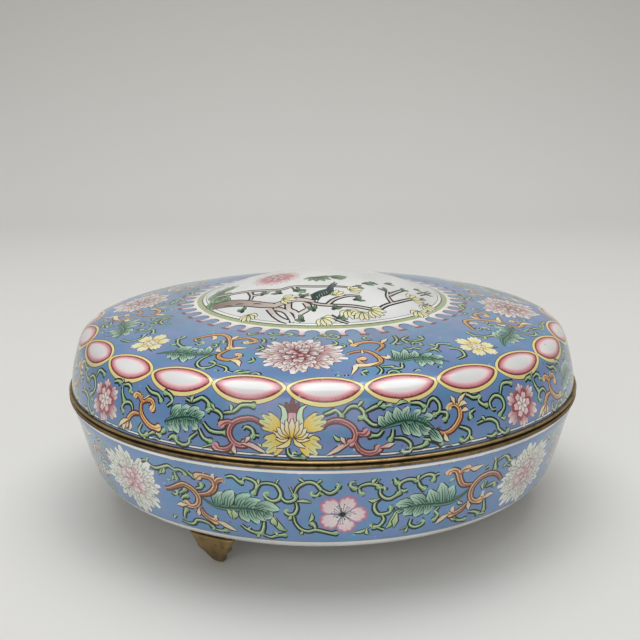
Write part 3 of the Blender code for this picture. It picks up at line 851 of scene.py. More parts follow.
# The picture on the panel, (x, y) in mm with y toward the back of the lid; blossoms and leaves are
# (x, y, heading), and the rock's stones (x, y, half width, half height) from the rock's place
panel = {
    "bands": [(48.9, "outline"), (48.45, "white"), (47.3, "grey"), (47.0, "panelWhite")],
    "rock": (-41.5, -8),
    "stones": [(-0.5, -9, 3.4, 4.6), (1.6, -4, 4.4, 4.4), (-0.8, 2, 3.4, 5.0), (3.4, -10, 2.6, 3.4)],
    "knots": [(-38, -22.8), (-33, -24.8), (-26, -28.4)],
    "bird": (0.0, -25.0),
    "flower": (-18, -3.0),
    "flowerRows": [(10, 10.2, "rose", "palePink"), (9, 7.6, "crimson", "pink"),
                   (7, 4.6, "crimson", "palePink")],
    "broadLeaf": (-1.4, -7.4),
    "trunk": [[(-42.4, -19.8), (-39.4, -20.4), (-34, -23), (-28.5, -26.5), (-22, -31), (-16, -33.4)]],
    "limb": [[(-17.5, -33), (-14, -31.4), (-9, -30.2), (-3, -32.5)]],
    "twist": [[(-19.6, -34.5), (-17.5, -39.5), (-14.6, -43.4), (-12.4, -44.9)],
              [(-17.5, -35), (-13.5, -38), (-11.5, -42), (-10.4, -45.4)],
              [(-12.5, -32.5), (-12.2, -37), (-9.6, -40), (-8.6, -45.8)],
              [(-6, -33), (-5, -37.5), (-8.4, -41), (-9.4, -46)]],
    "branch": [[(-42.5, -8), (-36, -12), (-28, -15), (-20, -18.6), (-15.5, -19.6), (-11, -18), (-2, -19.4),
                (6, -19), (12, -19.6)],
               [(-6, -31.6), (-1.5, -34.6), (4, -35.4), (12, -35.2), (20, -35.6), (24, -31), (29, -26),
                (35, -19.5), (40.5, -15)],
               [(2, -35.2), (4.5, -31), (9.5, -27.4), (14.5, -26.6)], [(26.4, -28), (25, -23.5), (25.2, -18)],
               [(25.4, -22), (29.5, -15.5), (32.5, -11)], [(3, -42.4), (6.5, -45), (9.6, -46.4)],
               [(-28, -15.6), (-26.8, -20.6), (-27.2, -24.4)], [(-26.8, -20.6), (-23, -21.2)],
               [(36, -18), (40, -21.4), (42, -19)], [(38, -12), (41.6, -6), (44, 0)],
               [(-10.6, -18.4), (-9, -23), (-6, -24)]],
    "blossom": [(-27.5, -36, -1.5), (-14.4, -28.6, -0.3), (10.6, -21.8, 0.4), (9.4, -38.4, -1.2),
                (14.6, -38.8, -1.6), (18.2, -36.4, -0.4), (0.2, -43.8, -0.9), (34.6, -20, 0.8),
                (36.4, -29.4, -1.3), (39.6, -22.4, -1.0), (4.2, -27.2, 1.2)],
    "leaf": [(4.2, -38, 0.9), (5.6, -43.6, 0.4), (-3, -39, 1.9), (-7, -45, 2.4), (12.2, -30.2, 0.5),
             (-7.4, -28.8, 1.4), (-10.2, -22.6, 0.6), (-15.6, -23.4, 2.5), (31.6, -13, 1.2),
             (41.4, -8, 1.0), (12.4, -18, 0.3), (24.4, -18, 2.2), (-22.8, -22, 0.9),
             (-30, -32.4, 1.8), (37, -6.4, 0.6), (16, -13.4, 0.4), (21, -11.6, 2.9), (25, -8.8, 0.5)],
}


# A branch with a dark line along both sides and a pale middle
def paintBranch(painting, place, paths, widths, first, second, line):
    for path in paths:
        stroke(painting, place, path, widths, "outline", grow=line)
    for path in paths:
        stroke(painting, place, path, widths, first, second)


# A blossom seen from the side: broad pointed petals fanned about one way, dark edges to each
def paintBud(painting, place, middle, turn, size, rng):
    middle = np.array(middle)
    for side in (-1.0, 1.0, -0.5, 0.5, 0.0):
        length = size * rng.uniform(0.9, 1.1) * (1 - 0.12 * abs(side))
        heading = turn + 0.95 * side
        way = toward(heading)
        bow = middle + way * 0.5 * length + 0.12 * side * length * np.array([-way[1], way[0]])
        path = [middle, bow, middle + way * length]
        stroke(painting, place, path, (0.5, 2.1, 1.9, 0.2), "outline", grow=0.62)
        stroke(painting, place, path, (0.4, 2.1, 1.9, 0.1), "paleYellow", "cream")
        stroke(painting, place, [middle, middle + way * 0.7 * length], (0.3, 0.2, 0.05), "moss", smooth=False)
    blob(painting, place, middle, (0.9, 0.8), "outline", "vine", points=7)


# A narrow pointed leaf with a dark rib
def paintLeaf(painting, place, root, turn, size):
    way = toward(turn) * size
    root = np.array(root)
    path = [root, root + way * 0.5, root + way]
    stroke(painting, place, path, (0.3, 0.42 * size, 0.1), "outline", smooth=False, grow=0.6)
    stroke(painting, place, path, (0.2, 0.4 * size, 0.1), "leafDark", "vine", smooth=False)
    stroke(painting, place, [root, root + way * 0.85], (0.3, 0.15), "outline", smooth=False)


# Green stones with dark hatching, and leaves growing from them
def paintRock(painting, place):
    x, y = panel["rock"]
    for dx, dy, wide, tall in panel["stones"]:
        base = np.array([x + dx, y + dy])
        blob(painting, place, base, (wide + 0.3, tall + 0.3), "outline", points=14)
        blob(painting, place, base, (wide, tall), "leafDark", "vine", points=14)
        for side in (-0.6, -0.1, 0.4):
            far = base + np.array([(side + 0.2) * wide, 0.8 * tall])
            stroke(painting, place, [base + (side * wide, -0.7 * tall), far], (0.5, 0.2), "outline",
                   smooth=False, cover=0.8)
    for turn in (0.5, 0.9, 1.3, 1.8):
        paintLeaf(painting, place, (x + 1, y + 2), turn, 8.5)


# Roots, branches, the leaning trunk and its limb, then dark knots along the trunk
def paintTree(painting, place):
    paintBranch(painting, place, panel["twist"], (1.9, 1.6, 1.6, 1.8), "barkPale", "panelWhite", 1.3)
    paintBranch(painting, place, panel["branch"], (1.0, 0.8, 0.6, 0.3), "barkPale", "panelWhite", 1.6)
    paintBranch(painting, place, panel["trunk"], (5.0, 4.6, 3.6, 3.2, 2.6), "bark", "barkPale", 1.1)
    paintBranch(painting, place, panel["limb"], (2.6, 3.0, 2.4, 1.2), "barkPale", "barkPale", 1.1)
    for x, y in panel["knots"]:
        stroke(painting, place, [(x, y), (x + 1.5, y - 0.4), (x + 3.6, y - 1.8)], (0.7, 0.9, 0.2), "outline",
               cover=0.8)
        stroke(painting, place, [(x - 1, y + 2.4), (x + 3, y + 0.8)], (0.3, 0.2), "bark", smooth=False)


# A dark bird: long tail feathers up to the right, a folded wing, its head down to the left
def paintBird(painting, place):
    at = np.array(panel["bird"])
    for side, far in ((-0.9, 9.4), (0.0, 11.0), (0.9, 9.8)):
        path = [at + (1.6, 0.8 + 0.3 * side), at + (3.2 + 0.5 * side, 4.6), at + (5.0 + side, far)]
        stroke(painting, place, path, (1.0, 1.3, 0.2), "outline", grow=0.3)
        stroke(painting, place, path, (0.7, 0.8, 0.1), "teal", "grey")
    body = [at + (-2.4, -6.4), at + (-1.8, -2.6), at + (0.8, 0.6), at + (2.6, 3.2)]
    wing = [at + (-0.8, -3.4), at + (1.4, -1.2), at + (3.0, 2.0), at + (4.0, 4.6)]
    for path, wide, ink in ((body, 4.2, "leafDark"), (wing, 3.0, "outline")):
        widths = (0.5 * wide, wide, 0.9 * wide, 0.2 * wide)
        stroke(painting, place, path, widths, "outline", grow=0.5)
        stroke(painting, place, path, widths, ink, "teal")
    for step in range(5):
        start = at + (-2.0 + step * 0.9, -3.0 + step * 1.0)
        stroke(painting, place, [start, start + (0.5, -2.2)], (0.25, 0.1), "paleGreen", smooth=False,
               cover=0.7)
    for side in (-0.7, 0.3):
        stroke(painting, place, [at + (-1.6 + side, -5.4), at + (-2.0 + side, -8.6)], (0.5, 0.3), "outline",
               smooth=False)
    blob(painting, place, at + (-3.0, -2.4), (1.5, 1.4), "teal", "outline", points=10)
    stroke(painting, place, [at + (-4.0, -2.6), at + (-5.6, -3.2)], (0.8, 0.2), "gold", smooth=False,
           grow=0.2)


def paintPanel(painting, rng):
    place = np.asarray  # the panel's plane is the middle of the disc itself
    paintBands(painting, panel["bands"])
    paintRock(painting, place)
    paintTree(painting, place)
    for x, y, turn in panel["leaf"]:
        for side in (-0.5, 0.4):
            paintLeaf(painting, place, (x, y), turn + side, rng.uniform(3.2, 4.4))
        blob(painting, place, (x, y), (0.9, 0.9), "outline", "leafDark", points=7)
    for x, y, turn in panel["blossom"]:
        paintBud(painting, place, (x, y), turn, rng.uniform(4.8, 6.0), rng)
    for count, size, inner, outer in panel["flowerRows"]:
        for turn in ring(count, size):
            long = size * rng.uniform(0.9, 1.08)
            petal(painting, place, panel["flower"], turn, long, 0.3, 3, inner, outer, edge="crimson",
                  notch=0.2, rim=0.2)
    root = np.array(panel["broadLeaf"])
    for turn in (-2.7, -2.2, -1.7, -1.2, -0.7, 0.1):
        paintLeaf(painting, place, root, turn, 6.4)
        paintLeaf(painting, place, root + (4.4, 1.2), turn * 0.3, 6.8)
    paintBird(painting, place)


# Short strokes along the circle s, where the enamel's edge is worn
def wornLine(painting, s, count, width, ink, rng):
    for turn in np.sort(rng.uniform(0, 2 * math.pi, count)):
        reach = rng.uniform(1.2, 5.0) / s
        angle = turn + np.linspace(0, reach, 4)
        wide = rng.uniform(0.4, 1.0) * width
        edge = s + np.concatenate([[0, wide, 0.8 * wide, 0], [0, -0.5 * wide, -0.6 * wide, 0]])
        angle = np.concatenate([angle, angle[::-1]])
        painting.fill(onDisc(edge, angle), ink, cover=0.9)


# Lines are (mm in from the rim, ink); worn strokes are (mm in from the rim, how many, width, ink)
lidEdge = {
    "lines": [(0.5, "outline"), (0.85, "white"), (1.35, "outline"), (1.6, "blue")],
    "worn": [(1.3, 50, 0.35, "white"), (1.05, 60, 0.4, "outline")],
}


def paintLidEdge(painting, rng):
    length = outlineLength(lidLook["outline"])
    paintBands(painting, [(length - inset, ink) for inset, ink in lidEdge["lines"]])
    paintMedallions(painting, rng)
    paintLidSide(painting)
    for inset, count, width, ink in lidEdge["worn"]:
        wornLine(painting, length - inset, count, width, ink, rng)


# Paths of the bowl's side, (along, down) in mm from the middle of a pink blossom and from the rim;
# the left ones run to the peony before it and the right ones to the peony after it
bowlSide = {
    "radius": 95.0,
    "blossom": 3.6,  # degrees
    "blossomDown": 17.2,
    "peony": 47.1,
    "peonyDown": 15.6,
    "size": 13.6,
    "stretch": 1.22,
    "leftSpan": -78.6,
    "rightSpan": 72.1,
    "vineWidth": 0.95,
    "leafWidth": 3.0,
    "lines": [(0.3, "white"), (1.15, "greyLine"), (1.3, "bowlBlue")],
    "worn": (1.1, 60, 0.4, "white"),
    "footLines": [(92.9, "greyLine"), (92.5, "white")],
}
bowlSide["left"] = {
    "vine": [
        [(-37, 4.4), (-34.5, 3.8), (-32.6, 5.6), (-31, 5.9)],
        [(-31.6, 5.6), (-30.7, 4.1), (-28.5, 4.4), (-27, 5.9), (-27.3, 8.1), (-28.8, 10.3)],
        [(-26.6, 7.2), (-25.7, 5.9), (-23.5, 5.3), (-21, 5.9), (-19.8, 7.8), (-19.5, 9.7), (-20.4, 11.6),
         (-22.6, 12.3), (-24.5, 10.9), (-24.8, 9.7), (-23.2, 9.1)],
        [(-19.8, 9.4), (-18.8, 11.6), (-17.3, 12.3), (-15.4, 11.6), (-14.8, 10.3), (-15.4, 9.1)],
        [(-15.1, 8.8), (-13.8, 6.2), (-11.3, 4.4), (-8.8, 4.7), (-7, 6.9), (-6, 9.4)],
        [(-7, 8.1), (-8.2, 9.7), (-9.8, 9.4), (-9.5, 8.1)],
        [(-14.8, 12.5), (-14.5, 14.7), (-15.4, 16.9), (-17, 17.5), (-18.2, 16.9), (-18.4, 15.9),
         (-17.3, 15.6)],
        [(-15.7, 18.1), (-15.4, 20.6), (-13.8, 23.1), (-11.3, 24.1), (-8.8, 23.4), (-6, 24.1),
         (-3.2, 25), (-1.3, 24.7)],
        [(-8.8, 23.1), (-9.1, 21.6), (-10.4, 20.3)],
        [(-25.7, 20.6), (-26, 22.5), (-26.6, 24.7), (-27.6, 26.6)],
        [(-34.1, 23.1), (-32, 25), (-29.1, 26.2), (-27.6, 26.2)],
        [(-26.6, 26.6), (-24.1, 27.5), (-22, 26.6), (-18.5, 25.9)],
        [(-30.7, 23.8), (-31.6, 24.7), (-31, 25.6)], [(-55.7, 14.4), (-53.8, 13.1), (-52.9, 11.6)],
        [(-55.7, 16.9), (-54.5, 15.6), (-52.3, 14.7)], [(-50.7, 4.7), (-49.5, 5.9), (-47.9, 6.6)],
        [(-48.8, 11.2), (-46.6, 10.3), (-46.3, 8.4)], [(-56.4, 25), (-55.7, 22.5), (-54.1, 20.3)],
        [(-58.2, 26.4), (-55.4, 27.2), (-52.9, 26.6), (-51.3, 24.7), (-48.5, 24.4), (-46, 25.3),
         (-44.8, 27.2)],
        [(-44.8, 27.2), (-42.3, 27.5), (-39.5, 26.6)],
        [(-71.1, 5.6), (-68, 4.4), (-66.4, 5.9), (-64.2, 6.6), (-60.8, 5.3), (-58, 4.1), (-55.8, 5.2),
         (-53.8, 4.7), (-52.3, 5.3), (-51.6, 6.9)],
        [(-56.1, 6.2), (-55.8, 9.4)], [(-59.5, 15), (-57.6, 15.6), (-56.7, 13.8), (-57.6, 14.1)]],
    "leaflet": [
        [(-26.3, 5.9), (-26.3, 4.7), (-26, 3.6)], [(-20.7, 5.3), (-20.1, 4.1), (-19.9, 3.4)],
        [(-15.7, 8.8), (-16.2, 7.5), (-16.6, 6.1)], [(-14.5, 12), (-12.3, 11.7), (-9.8, 12.3)],
        [(-12, 4.4), (-12.9, 3.4), (-13.8, 2.8)], [(-7.9, 4.7), (-7.1, 3.8), (-6.4, 3.4)],
        [(-16.6, 17.8), (-17, 18.8), (-17.9, 19.4)], [(-13.2, 24.1), (-13.5, 25), (-14.1, 25.6)],
        [(-10.7, 20), (-9.8, 18.4), (-9.9, 16.2)], [(-28.2, 26.6), (-28.5, 27.5), (-29.3, 28)],
        [(-22, 26.6), (-22, 25.5), (-23.2, 25)], [(-46.6, 25), (-44.8, 26.6), (-46, 28.1)],
        [(-60.8, 5.9), (-62, 7.5), (-63.6, 8.9)], [(-60.1, 5.6), (-60.8, 7.2), (-62, 8)],
        [(-58.6, 9.7), (-59.5, 10.3), (-60.1, 9.1)], [(-57.6, 9.7), (-57.3, 8.4), (-56.6, 7.8)],
        [(-61.7, 26.6), (-60.8, 25.3), (-59.8, 25)], [(-67.3, 4.4), (-66.5, 3.1), (-65.8, 2.8)]],
    "bigLeaflet": [
        [(-22.1, 18.6), (-21.6, 21.4), (-19.8, 23.6), (-18.1, 24)],
        [(-38.2, 17.5), (-37, 19.4), (-37.3, 21.2)],
        [(-36.2, 17.5), (-35.7, 19.4), (-36.6, 21.2)], [(-22.6, 18.8), (-22.6, 20.6), (-21.6, 22.4)]],
    "rust": [
        [(-61.8, 14), (-59.6, 13.4), (-56.3, 11.6), (-53.8, 10.5), (-51.6, 10.9), (-49.5, 12.5),
         (-48.5, 14.7), (-49.1, 17.2), (-51, 18.8), (-53.2, 18.8), (-54.8, 17.5)],
        [(-48.2, 13.4), (-44.8, 12.5), (-42.3, 10.6), (-41.3, 8.1), (-42.3, 5.9), (-44.8, 5.3),
         (-46.6, 5.6), (-47.9, 7)],
        [(-41.5, 8.8), (-40.4, 6.6), (-38.8, 5.6), (-37.9, 5.9), (-38.4, 6.7)],
        [(-48.5, 18.4), (-47.6, 21.2), (-45.1, 23), (-42.3, 23.6)]],
    "rustTips": [
        [(-43, 23.4), (-41, 23.8), (-39.5, 24.7), (-36, 26.4)],
        [(-42.6, 23), (-43.5, 21.9), (-42.6, 20.8)],
        [(-49, 18.8), (-49.5, 20.6), (-49.8, 22.4)], [(-41.3, 6.2), (-41.6, 4.7), (-40.9, 3.8)],
        [(-53.4, 18.8), (-56.4, 19.2), (-58.4, 19.8)]],
    "rib": [(-47.3, 14.2), (-43.2, 16.6), (-38.8, 17), (-33.8, 16.4), (-29.1, 16.2), (-25.1, 17),
            (-22.3, 18.8)],
    "lobes": [
        [(-41.6, 16.4), (-41, 13.1), (-39.1, 10.9)], [(-38.2, 16.4), (-37.3, 12.5), (-35.2, 9.7)],
        [(-34.1, 16.1), (-32.6, 12.9), (-29.8, 10.4)], [(-31.3, 15.9), (-29.1, 13.6), (-26.3, 12.5)],
        [(-28, 16.2), (-24.8, 14.6), (-20.4, 15.6)], [(-32.3, 16.6), (-32.2, 19.4), (-31.2, 21.6)],
        [(-29.8, 16.6), (-29, 19.4), (-27.8, 21.9)], [(-27, 16.9), (-26.3, 18.8), (-25.1, 20.3)],
        [(-25.1, 17.2), (-24.1, 18.4), (-22.9, 19.1)]],
}
bowlSide["right"] = {
    "vine": [
        [(-6.6, 7.2), (-4.1, 8.8), (-1.9, 7.5), (-1.3, 5.6), (-1.9, 5)],
        [(3.9, 4.5), (2.5, 4.7), (2.3, 6.2), (4.3, 7.5)],
        [(4.7, 7.5), (5.6, 6.2), (7.8, 5.6), (10.3, 6.2), (11.5, 7.8)],
        [(5, 7.5), (5.4, 9.1), (6.8, 9.4)], [(11.5, 7.8), (12.8, 7.5), (13.1, 8.8)],
        [(11.5, 8.1), (11.7, 10), (13.1, 11.7), (15, 12.2), (17.2, 10.9), (18.1, 9.7)],
        [(18.1, 9.7), (17.5, 7.8), (18.1, 6.2), (20, 5.3), (22.2, 5.6), (23.7, 6.6)],
        [(15.6, 4.1), (16.4, 5.9), (17.5, 6.6)], [(18.1, 9.1), (19.3, 9.8), (20.4, 9.4)],
        [(23.7, 6.6), (24.7, 8.8), (26.8, 10.3)],
        [(23.7, 6.2), (25.3, 4.7), (27.2, 4.4), (28.7, 5.3), (29, 6.6), (28.4, 7.7)],
        [(28.7, 5.3), (30.6, 4.8)],
        [(11.8, 11.9), (10.3, 13.4), (10.1, 15.6), (11.4, 17.8), (13.4, 18.1), (15.3, 17.5),
         (15.6, 15.9), (15.1, 15.2)],
        [(12.8, 18.4), (13.6, 20.3), (12.8, 22.2), (11.5, 23.1), (9.7, 23.1)], [(11.5, 23.4), (14, 24.7)],
        [(23.1, 21.2), (22.8, 23.8), (24.7, 25.3), (26.8, 25), (28.1, 23.4), (26.8, 23)],
        [(32.8, 18.4), (31.5, 20), (32.8, 21.6), (32.2, 23.1), (30.9, 23.8)],
        [(52.5, 4.1), (52.8, 6.2), (53.5, 9.1)],
        [(53.5, 5.3), (56.3, 4.1), (58.5, 5.3), (60, 7.2), (63.1, 7.8)], [(50, 15.3), (50.5, 12.5)],
        [(51, 15), (52.8, 14.7), (54.7, 14.4), (55.3, 16.2)], [(51.6, 20.3), (52.8, 24.1), (53.1, 26.2)],
        [(45.6, 23.8), (48.8, 24.7), (51.3, 26.6)], [(48.5, 7.2), (50, 6.6)],
        [(39.4, 24.2), (42, 26.6), (45.6, 26.8)]],
    "leaflet": [
        [(9, 5.5), (9.2, 4.4), (10.3, 3.4)], [(10, 5.6), (10.9, 4.4), (11.4, 3.8)],
        [(8.1, 12), (9.7, 12.5), (11.8, 11.6)], [(4, 25), (6.5, 24.7), (8.7, 23.3)],
        [(8.1, 23.8), (8.1, 25.3), (9, 26.4)], [(9.7, 23.1), (9.3, 22.2), (9.6, 21.4)],
        [(23.4, 5.9), (23.4, 4.7), (23.8, 3.6)], [(19.3, 25.5), (20.9, 25), (22.5, 24.4)],
        [(22.2, 25), (21.8, 26.6), (21, 27.2)], [(36.8, 8.1), (35.6, 8.4), (35, 9.4)],
        [(39.7, 17.8), (40.6, 18.8), (42.2, 19.4)], [(37.8, 24.4), (39.7, 25.6), (41.2, 25.9)],
        [(52.2, 4.7), (51.9, 3.8), (51, 3.4)], [(58.1, 8.1), (60, 9.1), (61.3, 9.7)],
        [(59.4, 7.5), (57.8, 8.4), (57.2, 9.4)], [(49.7, 15.6), (49.1, 13.8), (50, 12.5)],
        [(51.3, 26.6), (53.1, 26.6), (54.4, 27.2)]],
    "bigLeaflet": [
        [(17.2, 17.8), (17, 20.3), (15.6, 23.1), (14.3, 24.4)],
        [(17.8, 18.4), (17.4, 21.9), (17.3, 24.4)]],
    "rust": [
        [(44.3, 12.2), (40.9, 11.6), (39, 9.4), (38.1, 6.9), (36.5, 4.7), (34.3, 4.7), (33.7, 6.1)],
        [(38.4, 6.9), (39.3, 5.3), (42.2, 5)],
        [(57.8, 14.2), (57.2, 13.2), (54.7, 10.8), (51.3, 9.7), (47.8, 10.3), (45.3, 12.5),
         (44.4, 15.3), (45.3, 18.4), (47.8, 20), (51, 19.7)],
        [(44.3, 19.4), (41.8, 21.9), (39.3, 22.8), (36.8, 22.4)]],
    "rustTips": [
        [(50.4, 19.8), (53.8, 18.8), (55.6, 19.2)], [(51, 19.1), (50, 17.5), (51, 16.6)],
        [(42, 5.2), (44.3, 5.9), (47.5, 5.2)], [(44.1, 18.8), (45, 21.2), (45.3, 22.8)],
        [(39, 22.3), (38.1, 20.6), (38.9, 19.5)], [(37.4, 22.4), (34.6, 23.8), (32.6, 25.8)]],
    "rib": [(44, 13.4), (40.9, 15.9), (37.2, 17.2), (33.1, 17.2), (29.3, 16.6), (24.7, 16.2),
            (20.6, 16.6), (15.9, 17.5)],
    "lobes": [
        [(36.4, 17), (35.8, 13.8), (36.8, 10.9)], [(33.7, 16.9), (33, 12.5), (32, 8.9)],
        [(30.6, 16.6), (29.3, 13.4), (28.2, 10.8)], [(26.8, 16.4), (24.7, 13.8), (21.8, 12.2)],
        [(22.8, 16.4), (20.3, 15), (17.2, 14.9)], [(28.4, 16.9), (28.6, 18.8), (27.8, 20.5)],
        [(25.9, 16.8), (25.2, 18.8), (24.2, 20.8)], [(22.8, 16.8), (21.5, 18.3), (20.1, 19.3)],
        [(19.7, 16.9), (18.4, 17.7), (17, 18.6)]],
}


# Four repeats, each a pink blossom with a half to both sides and a peony; white below them
def paintBowl(painting, rng):
    length = outlineLength(bowlLook["outline"])
    radius = bowlSide["radius"]
    paintBands(painting, [(length - inset, ink) for inset, ink in bowlSide["lines"]])
    inset, count, width, ink = bowlSide["worn"]
    wornLine(painting, length - inset, count, width, ink, rng)
    for azimuth in (0, 90, 180, 270):
        middle = bowlSide["blossom"] + azimuth
        after = bowlSide["peony"] + azimuth
        for side, flower in (("left", after - 90), ("right", after)):
            place = between(middle, flower, bowlSide[side + "Span"], length, -1.0)
            paintHalf(painting, place, bowlSide[side], bowlSide["vineWidth"], bowlSide["leafWidth"])
        blossom(painting, onBand(middle, radius, base=length - bowlSide["blossomDown"]), rng)
        place = onBand(after, radius, bowlSide["stretch"], length - bowlSide["peonyDown"])
        peony(painting, place, bowlSide["size"], ("paleGreen", "pink", "white", "greyEdge"), rng)
    paintBands(painting, bowlSide["footLines"])


# The colour at each corner of the triangles, painted in order: colour (1 - cover) + ink cover. The
# layers are the shapes that hold each triangle, and a shape colours nothing outside its own box.
def paintCorners(corners, layers, outlines, inks):
    slack = 0.01
    middle = corners.mean(axis=1)
    low = np.array([points.min(axis=0) for points in outlines]) - slack
    high = np.array([points.max(axis=0) for points in outlines]) + slack
    colour = np.zeros(corners.shape[:2] + (3,))
    for owner in layers.T:
        within = np.all((middle > low[owner]) & (middle < high[owner]), axis=1) & (owner >= 0)
        parts = np.split(inks[owner][:, None], (3, 4, 7, 8, 10, 12), axis=2)
        firstInk, firstCover, lastInk, lastCover, start, end, oval = parts
        line = end - start
        away = corners - start
        size = np.maximum(np.sum(line * line, axis=2), 1e-9)
        ahead = np.sum(away * line, axis=2) / size
        aside = (away[..., 0] * line[..., 1] - away[..., 1] * line[..., 0]) / size
        aside = aside / np.maximum(oval[..., 0], 1e-9)
        share = np.where(oval[..., 0] > 0, np.hypot(ahead, aside), ahead)
        share = np.clip(share, 0, 1)[..., None]
        hue = firstInk * (1 - share) + lastInk * share
        cover = (firstCover * (1 - share) + lastCover * share) * within[:, None, None]
        colour = colour * (1 - cover) + hue * cover
    return colour


# The painted face is a flat disc, or a ring round a hole, of triangles along the edges of the painted
# shapes. Gives its points, its triangles and the linear colour at each triangle's corners.
def paintedDisc(look, painting, ground, reach, hole):
    loose = [np.zeros((1, 2))]
    s = 0.0
    for far, gap, count in look["rings"]:
        while s + gap < min(far, reach - 0.5 * gap):
            s += gap
            turn = 2 * math.pi * (np.arange(count) + 0.5 * (len(loose) % 2)) / count
            loose.append(onDisc(s, turn))
    outlines = [circle(reach, look["columns"])] + painting.shapes
    if hole:
        outlines.append(circle(hole, look["columns"]))
    starts = np.cumsum([0] + [len(points) for points in outlines])
    faces = [list(range(a, b)) for a, b in zip(starts[:-1], starts[1:])]
    points = np.vstack(outlines + loose)
    result = delaunay_2d_cdt([Vector(p) for p in points], [], faces, 0, 1e-4, True)
    flat = np.array([tuple(v) for v in result[0]])
    triangles = np.array(result[2])
    layers = np.full((len(triangles), max(len(owners) for owners in result[5])), -1)
    for number, owners in enumerate(result[5]):
        layers[number, :len(owners)] = sorted(owners)
    kept = layers[:, 0] == 0
    if hole:
        kept &= ~np.any(layers == len(outlines) - 1, axis=1)
    triangles, layers = triangles[kept], layers[kept]
    inks = np.array([(*linear(ground), 1, *linear(ground), 1, 0, 0, 1, 0, 0)] + painting.inks)
    colour = paintCorners(flat[triangles], layers, outlines, inks)
    used, index = np.unique(triangles, return_inverse=True)
    return flat[used], index.reshape(triangles.shape), colour


# (r n, height) round the axis for each row of a section, with r, height = section and n a unit circle
def revolve(section, around):
    upright = np.broadcast_to(section[:, None, 1:], (len(section), len(around), 1))
    return np.concatenate([section[:, None, :1] * around, upright], axis=2).reshape(-1, 3)


# The inner face: a grid of the same outline moved inward by the wall along its normal, from the rim to
# the axis, joined to the painted face's rim
def innerFace(look, flat, length, depths):
    facing, columns = look["facing"], look["columns"]
    around = circle(1.0, columns)
    place, normal = outlineAt(look["outline"], depths)
    section = place - facing * look["wall"] * normal
    section[0, 1] = look["outline"][-1][1]
    apex = [[0, 0, look["outline"][0][1] - facing * look["wall"]]]
    points = np.vstack([revolve(section, around), apex])
    normals = np.vstack([-facing * revolve(normal, around), [[0, 0, -facing]]])
    rim = np.array([np.argmin(np.abs(flat - corner).sum(axis=1)) for corner in length * around])
    own = len(flat) + np.arange(len(depths) * columns).reshape(len(depths), columns)
    lines = np.vstack([rim, own])
    after = np.roll(lines, -1, axis=1)
    quads = np.stack([lines[:-1], lines[1:], after[1:], after[:-1]], axis=-1).reshape(-1, 4)[:, ::facing]
    middle = np.full(columns, len(flat) + own.size)
    fan = np.stack([lines[-1], middle, after[-1]], axis=1)[:, ::facing]
    return points, normals, quads.tolist() + fan.tolist()


# Places on the 0 to 1 map, (middle, radius): a painted face alone, a painted face that has an inner
# one, and that inner one, a small disc in a corner whose outermost row is a little wider
charts = {"alone": (0.5, 0.49), "outer": (0.477, 0.47), "inner": (0.895, 0.098), "innerRim": (0.895, 0.1)}


def onChart(name, share):
    middle, radius = charts[name]
    return middle + radius * share


def meshPiece(name, points, faces):
    mesh = bpy.data.meshes.new(name)
    mesh.from_pydata((points * mm).tolist(), [], faces)
    mesh.polygons.foreach_set("use_smooth", np.ones(len(mesh.polygons), bool))
    piece = bpy.data.objects.new(name, mesh)
    bpy.context.scene.collection.objects.link(piece)
    return piece


def loopVertices(mesh):
    corner = np.zeros(len(mesh.loops), np.int32)
    mesh.loops.foreach_get("vertex_index", corner)
    return corner


def setMap(mesh, uvs):
    mesh.uv_layers.new(name="OFBake").data.foreach_set("uv", uvs.ravel().astype(np.float32))


# The flat points are laid on the surface of revolution: x = r(s) sin a, y = -r(s) cos a, z = z(s).
# With a colour for the inside it is a closed wall, and without one the painted face alone.
def shell(name, look, painting, ground, inside=None, reach=None, hole=0.0):
    facing = look["facing"]
    length = reach or outlineLength(look["outline"])
    flat, triangles, colour = paintedDisc(look, painting, ground, length, hole)
    s = np.linalg.norm(flat, axis=1)
    place, normal = outlineAt(look["outline"], s)
    way = flat / np.maximum(s, 1e-9)[:, None]
    points = np.column_stack([way * place[:, :1], place[:, 1]])
    normals = facing * np.column_stack([way * normal[:, :1], normal[:, 1]])
    normals[s < 1e-6] = (0, 0, facing)
    faces = triangles[:, ::facing].tolist()
    chart = onChart("outer" if inside else "alone", flat / length)
    if inside:
        depths = length * np.linspace(1, 0, look["innerRings"] + 1)[:-1]
        innerPoints, innerNormals, innerFaces = innerFace(look, flat, length, depths)
        faces += innerFaces
        points = np.vstack([points, innerPoints])
        normals = np.vstack([normals, innerNormals])
        share = (depths[:, None, None] / length * circle(1.0, look["columns"])).reshape(-1, 2)
        chart = np.vstack([chart, onChart("inner", np.vstack([share, [[0, 0]]]))])
    piece = meshPiece(name, points, faces)
    mesh = piece.data
    values = np.ones((len(mesh.loops), 4))
    values[:, :3] = linear(inside or ground)
    values[:triangles.size, :3] = colour[:, ::facing].reshape(-1, 3)
    layer = mesh.color_attributes.new("Paint", "FLOAT_COLOR", "CORNER")
    layer.data.foreach_set("color", values.ravel().astype(np.float32))
    corner = loopVertices(mesh)
    uvs = chart[corner]
    innerRim = (np.arange(len(mesh.loops)) >= triangles.size) & (corner < len(flat))
    uvs[innerRim] = onChart("innerRim", flat[corner[innerRim]] / length)
    setMap(mesh, uvs)
    mesh.normals_split_custom_set_from_vertices(normals.tolist())
    print(f"{name}: {len(painting.shapes)} painted shapes, {len(mesh.polygons)} faces")
    return piece
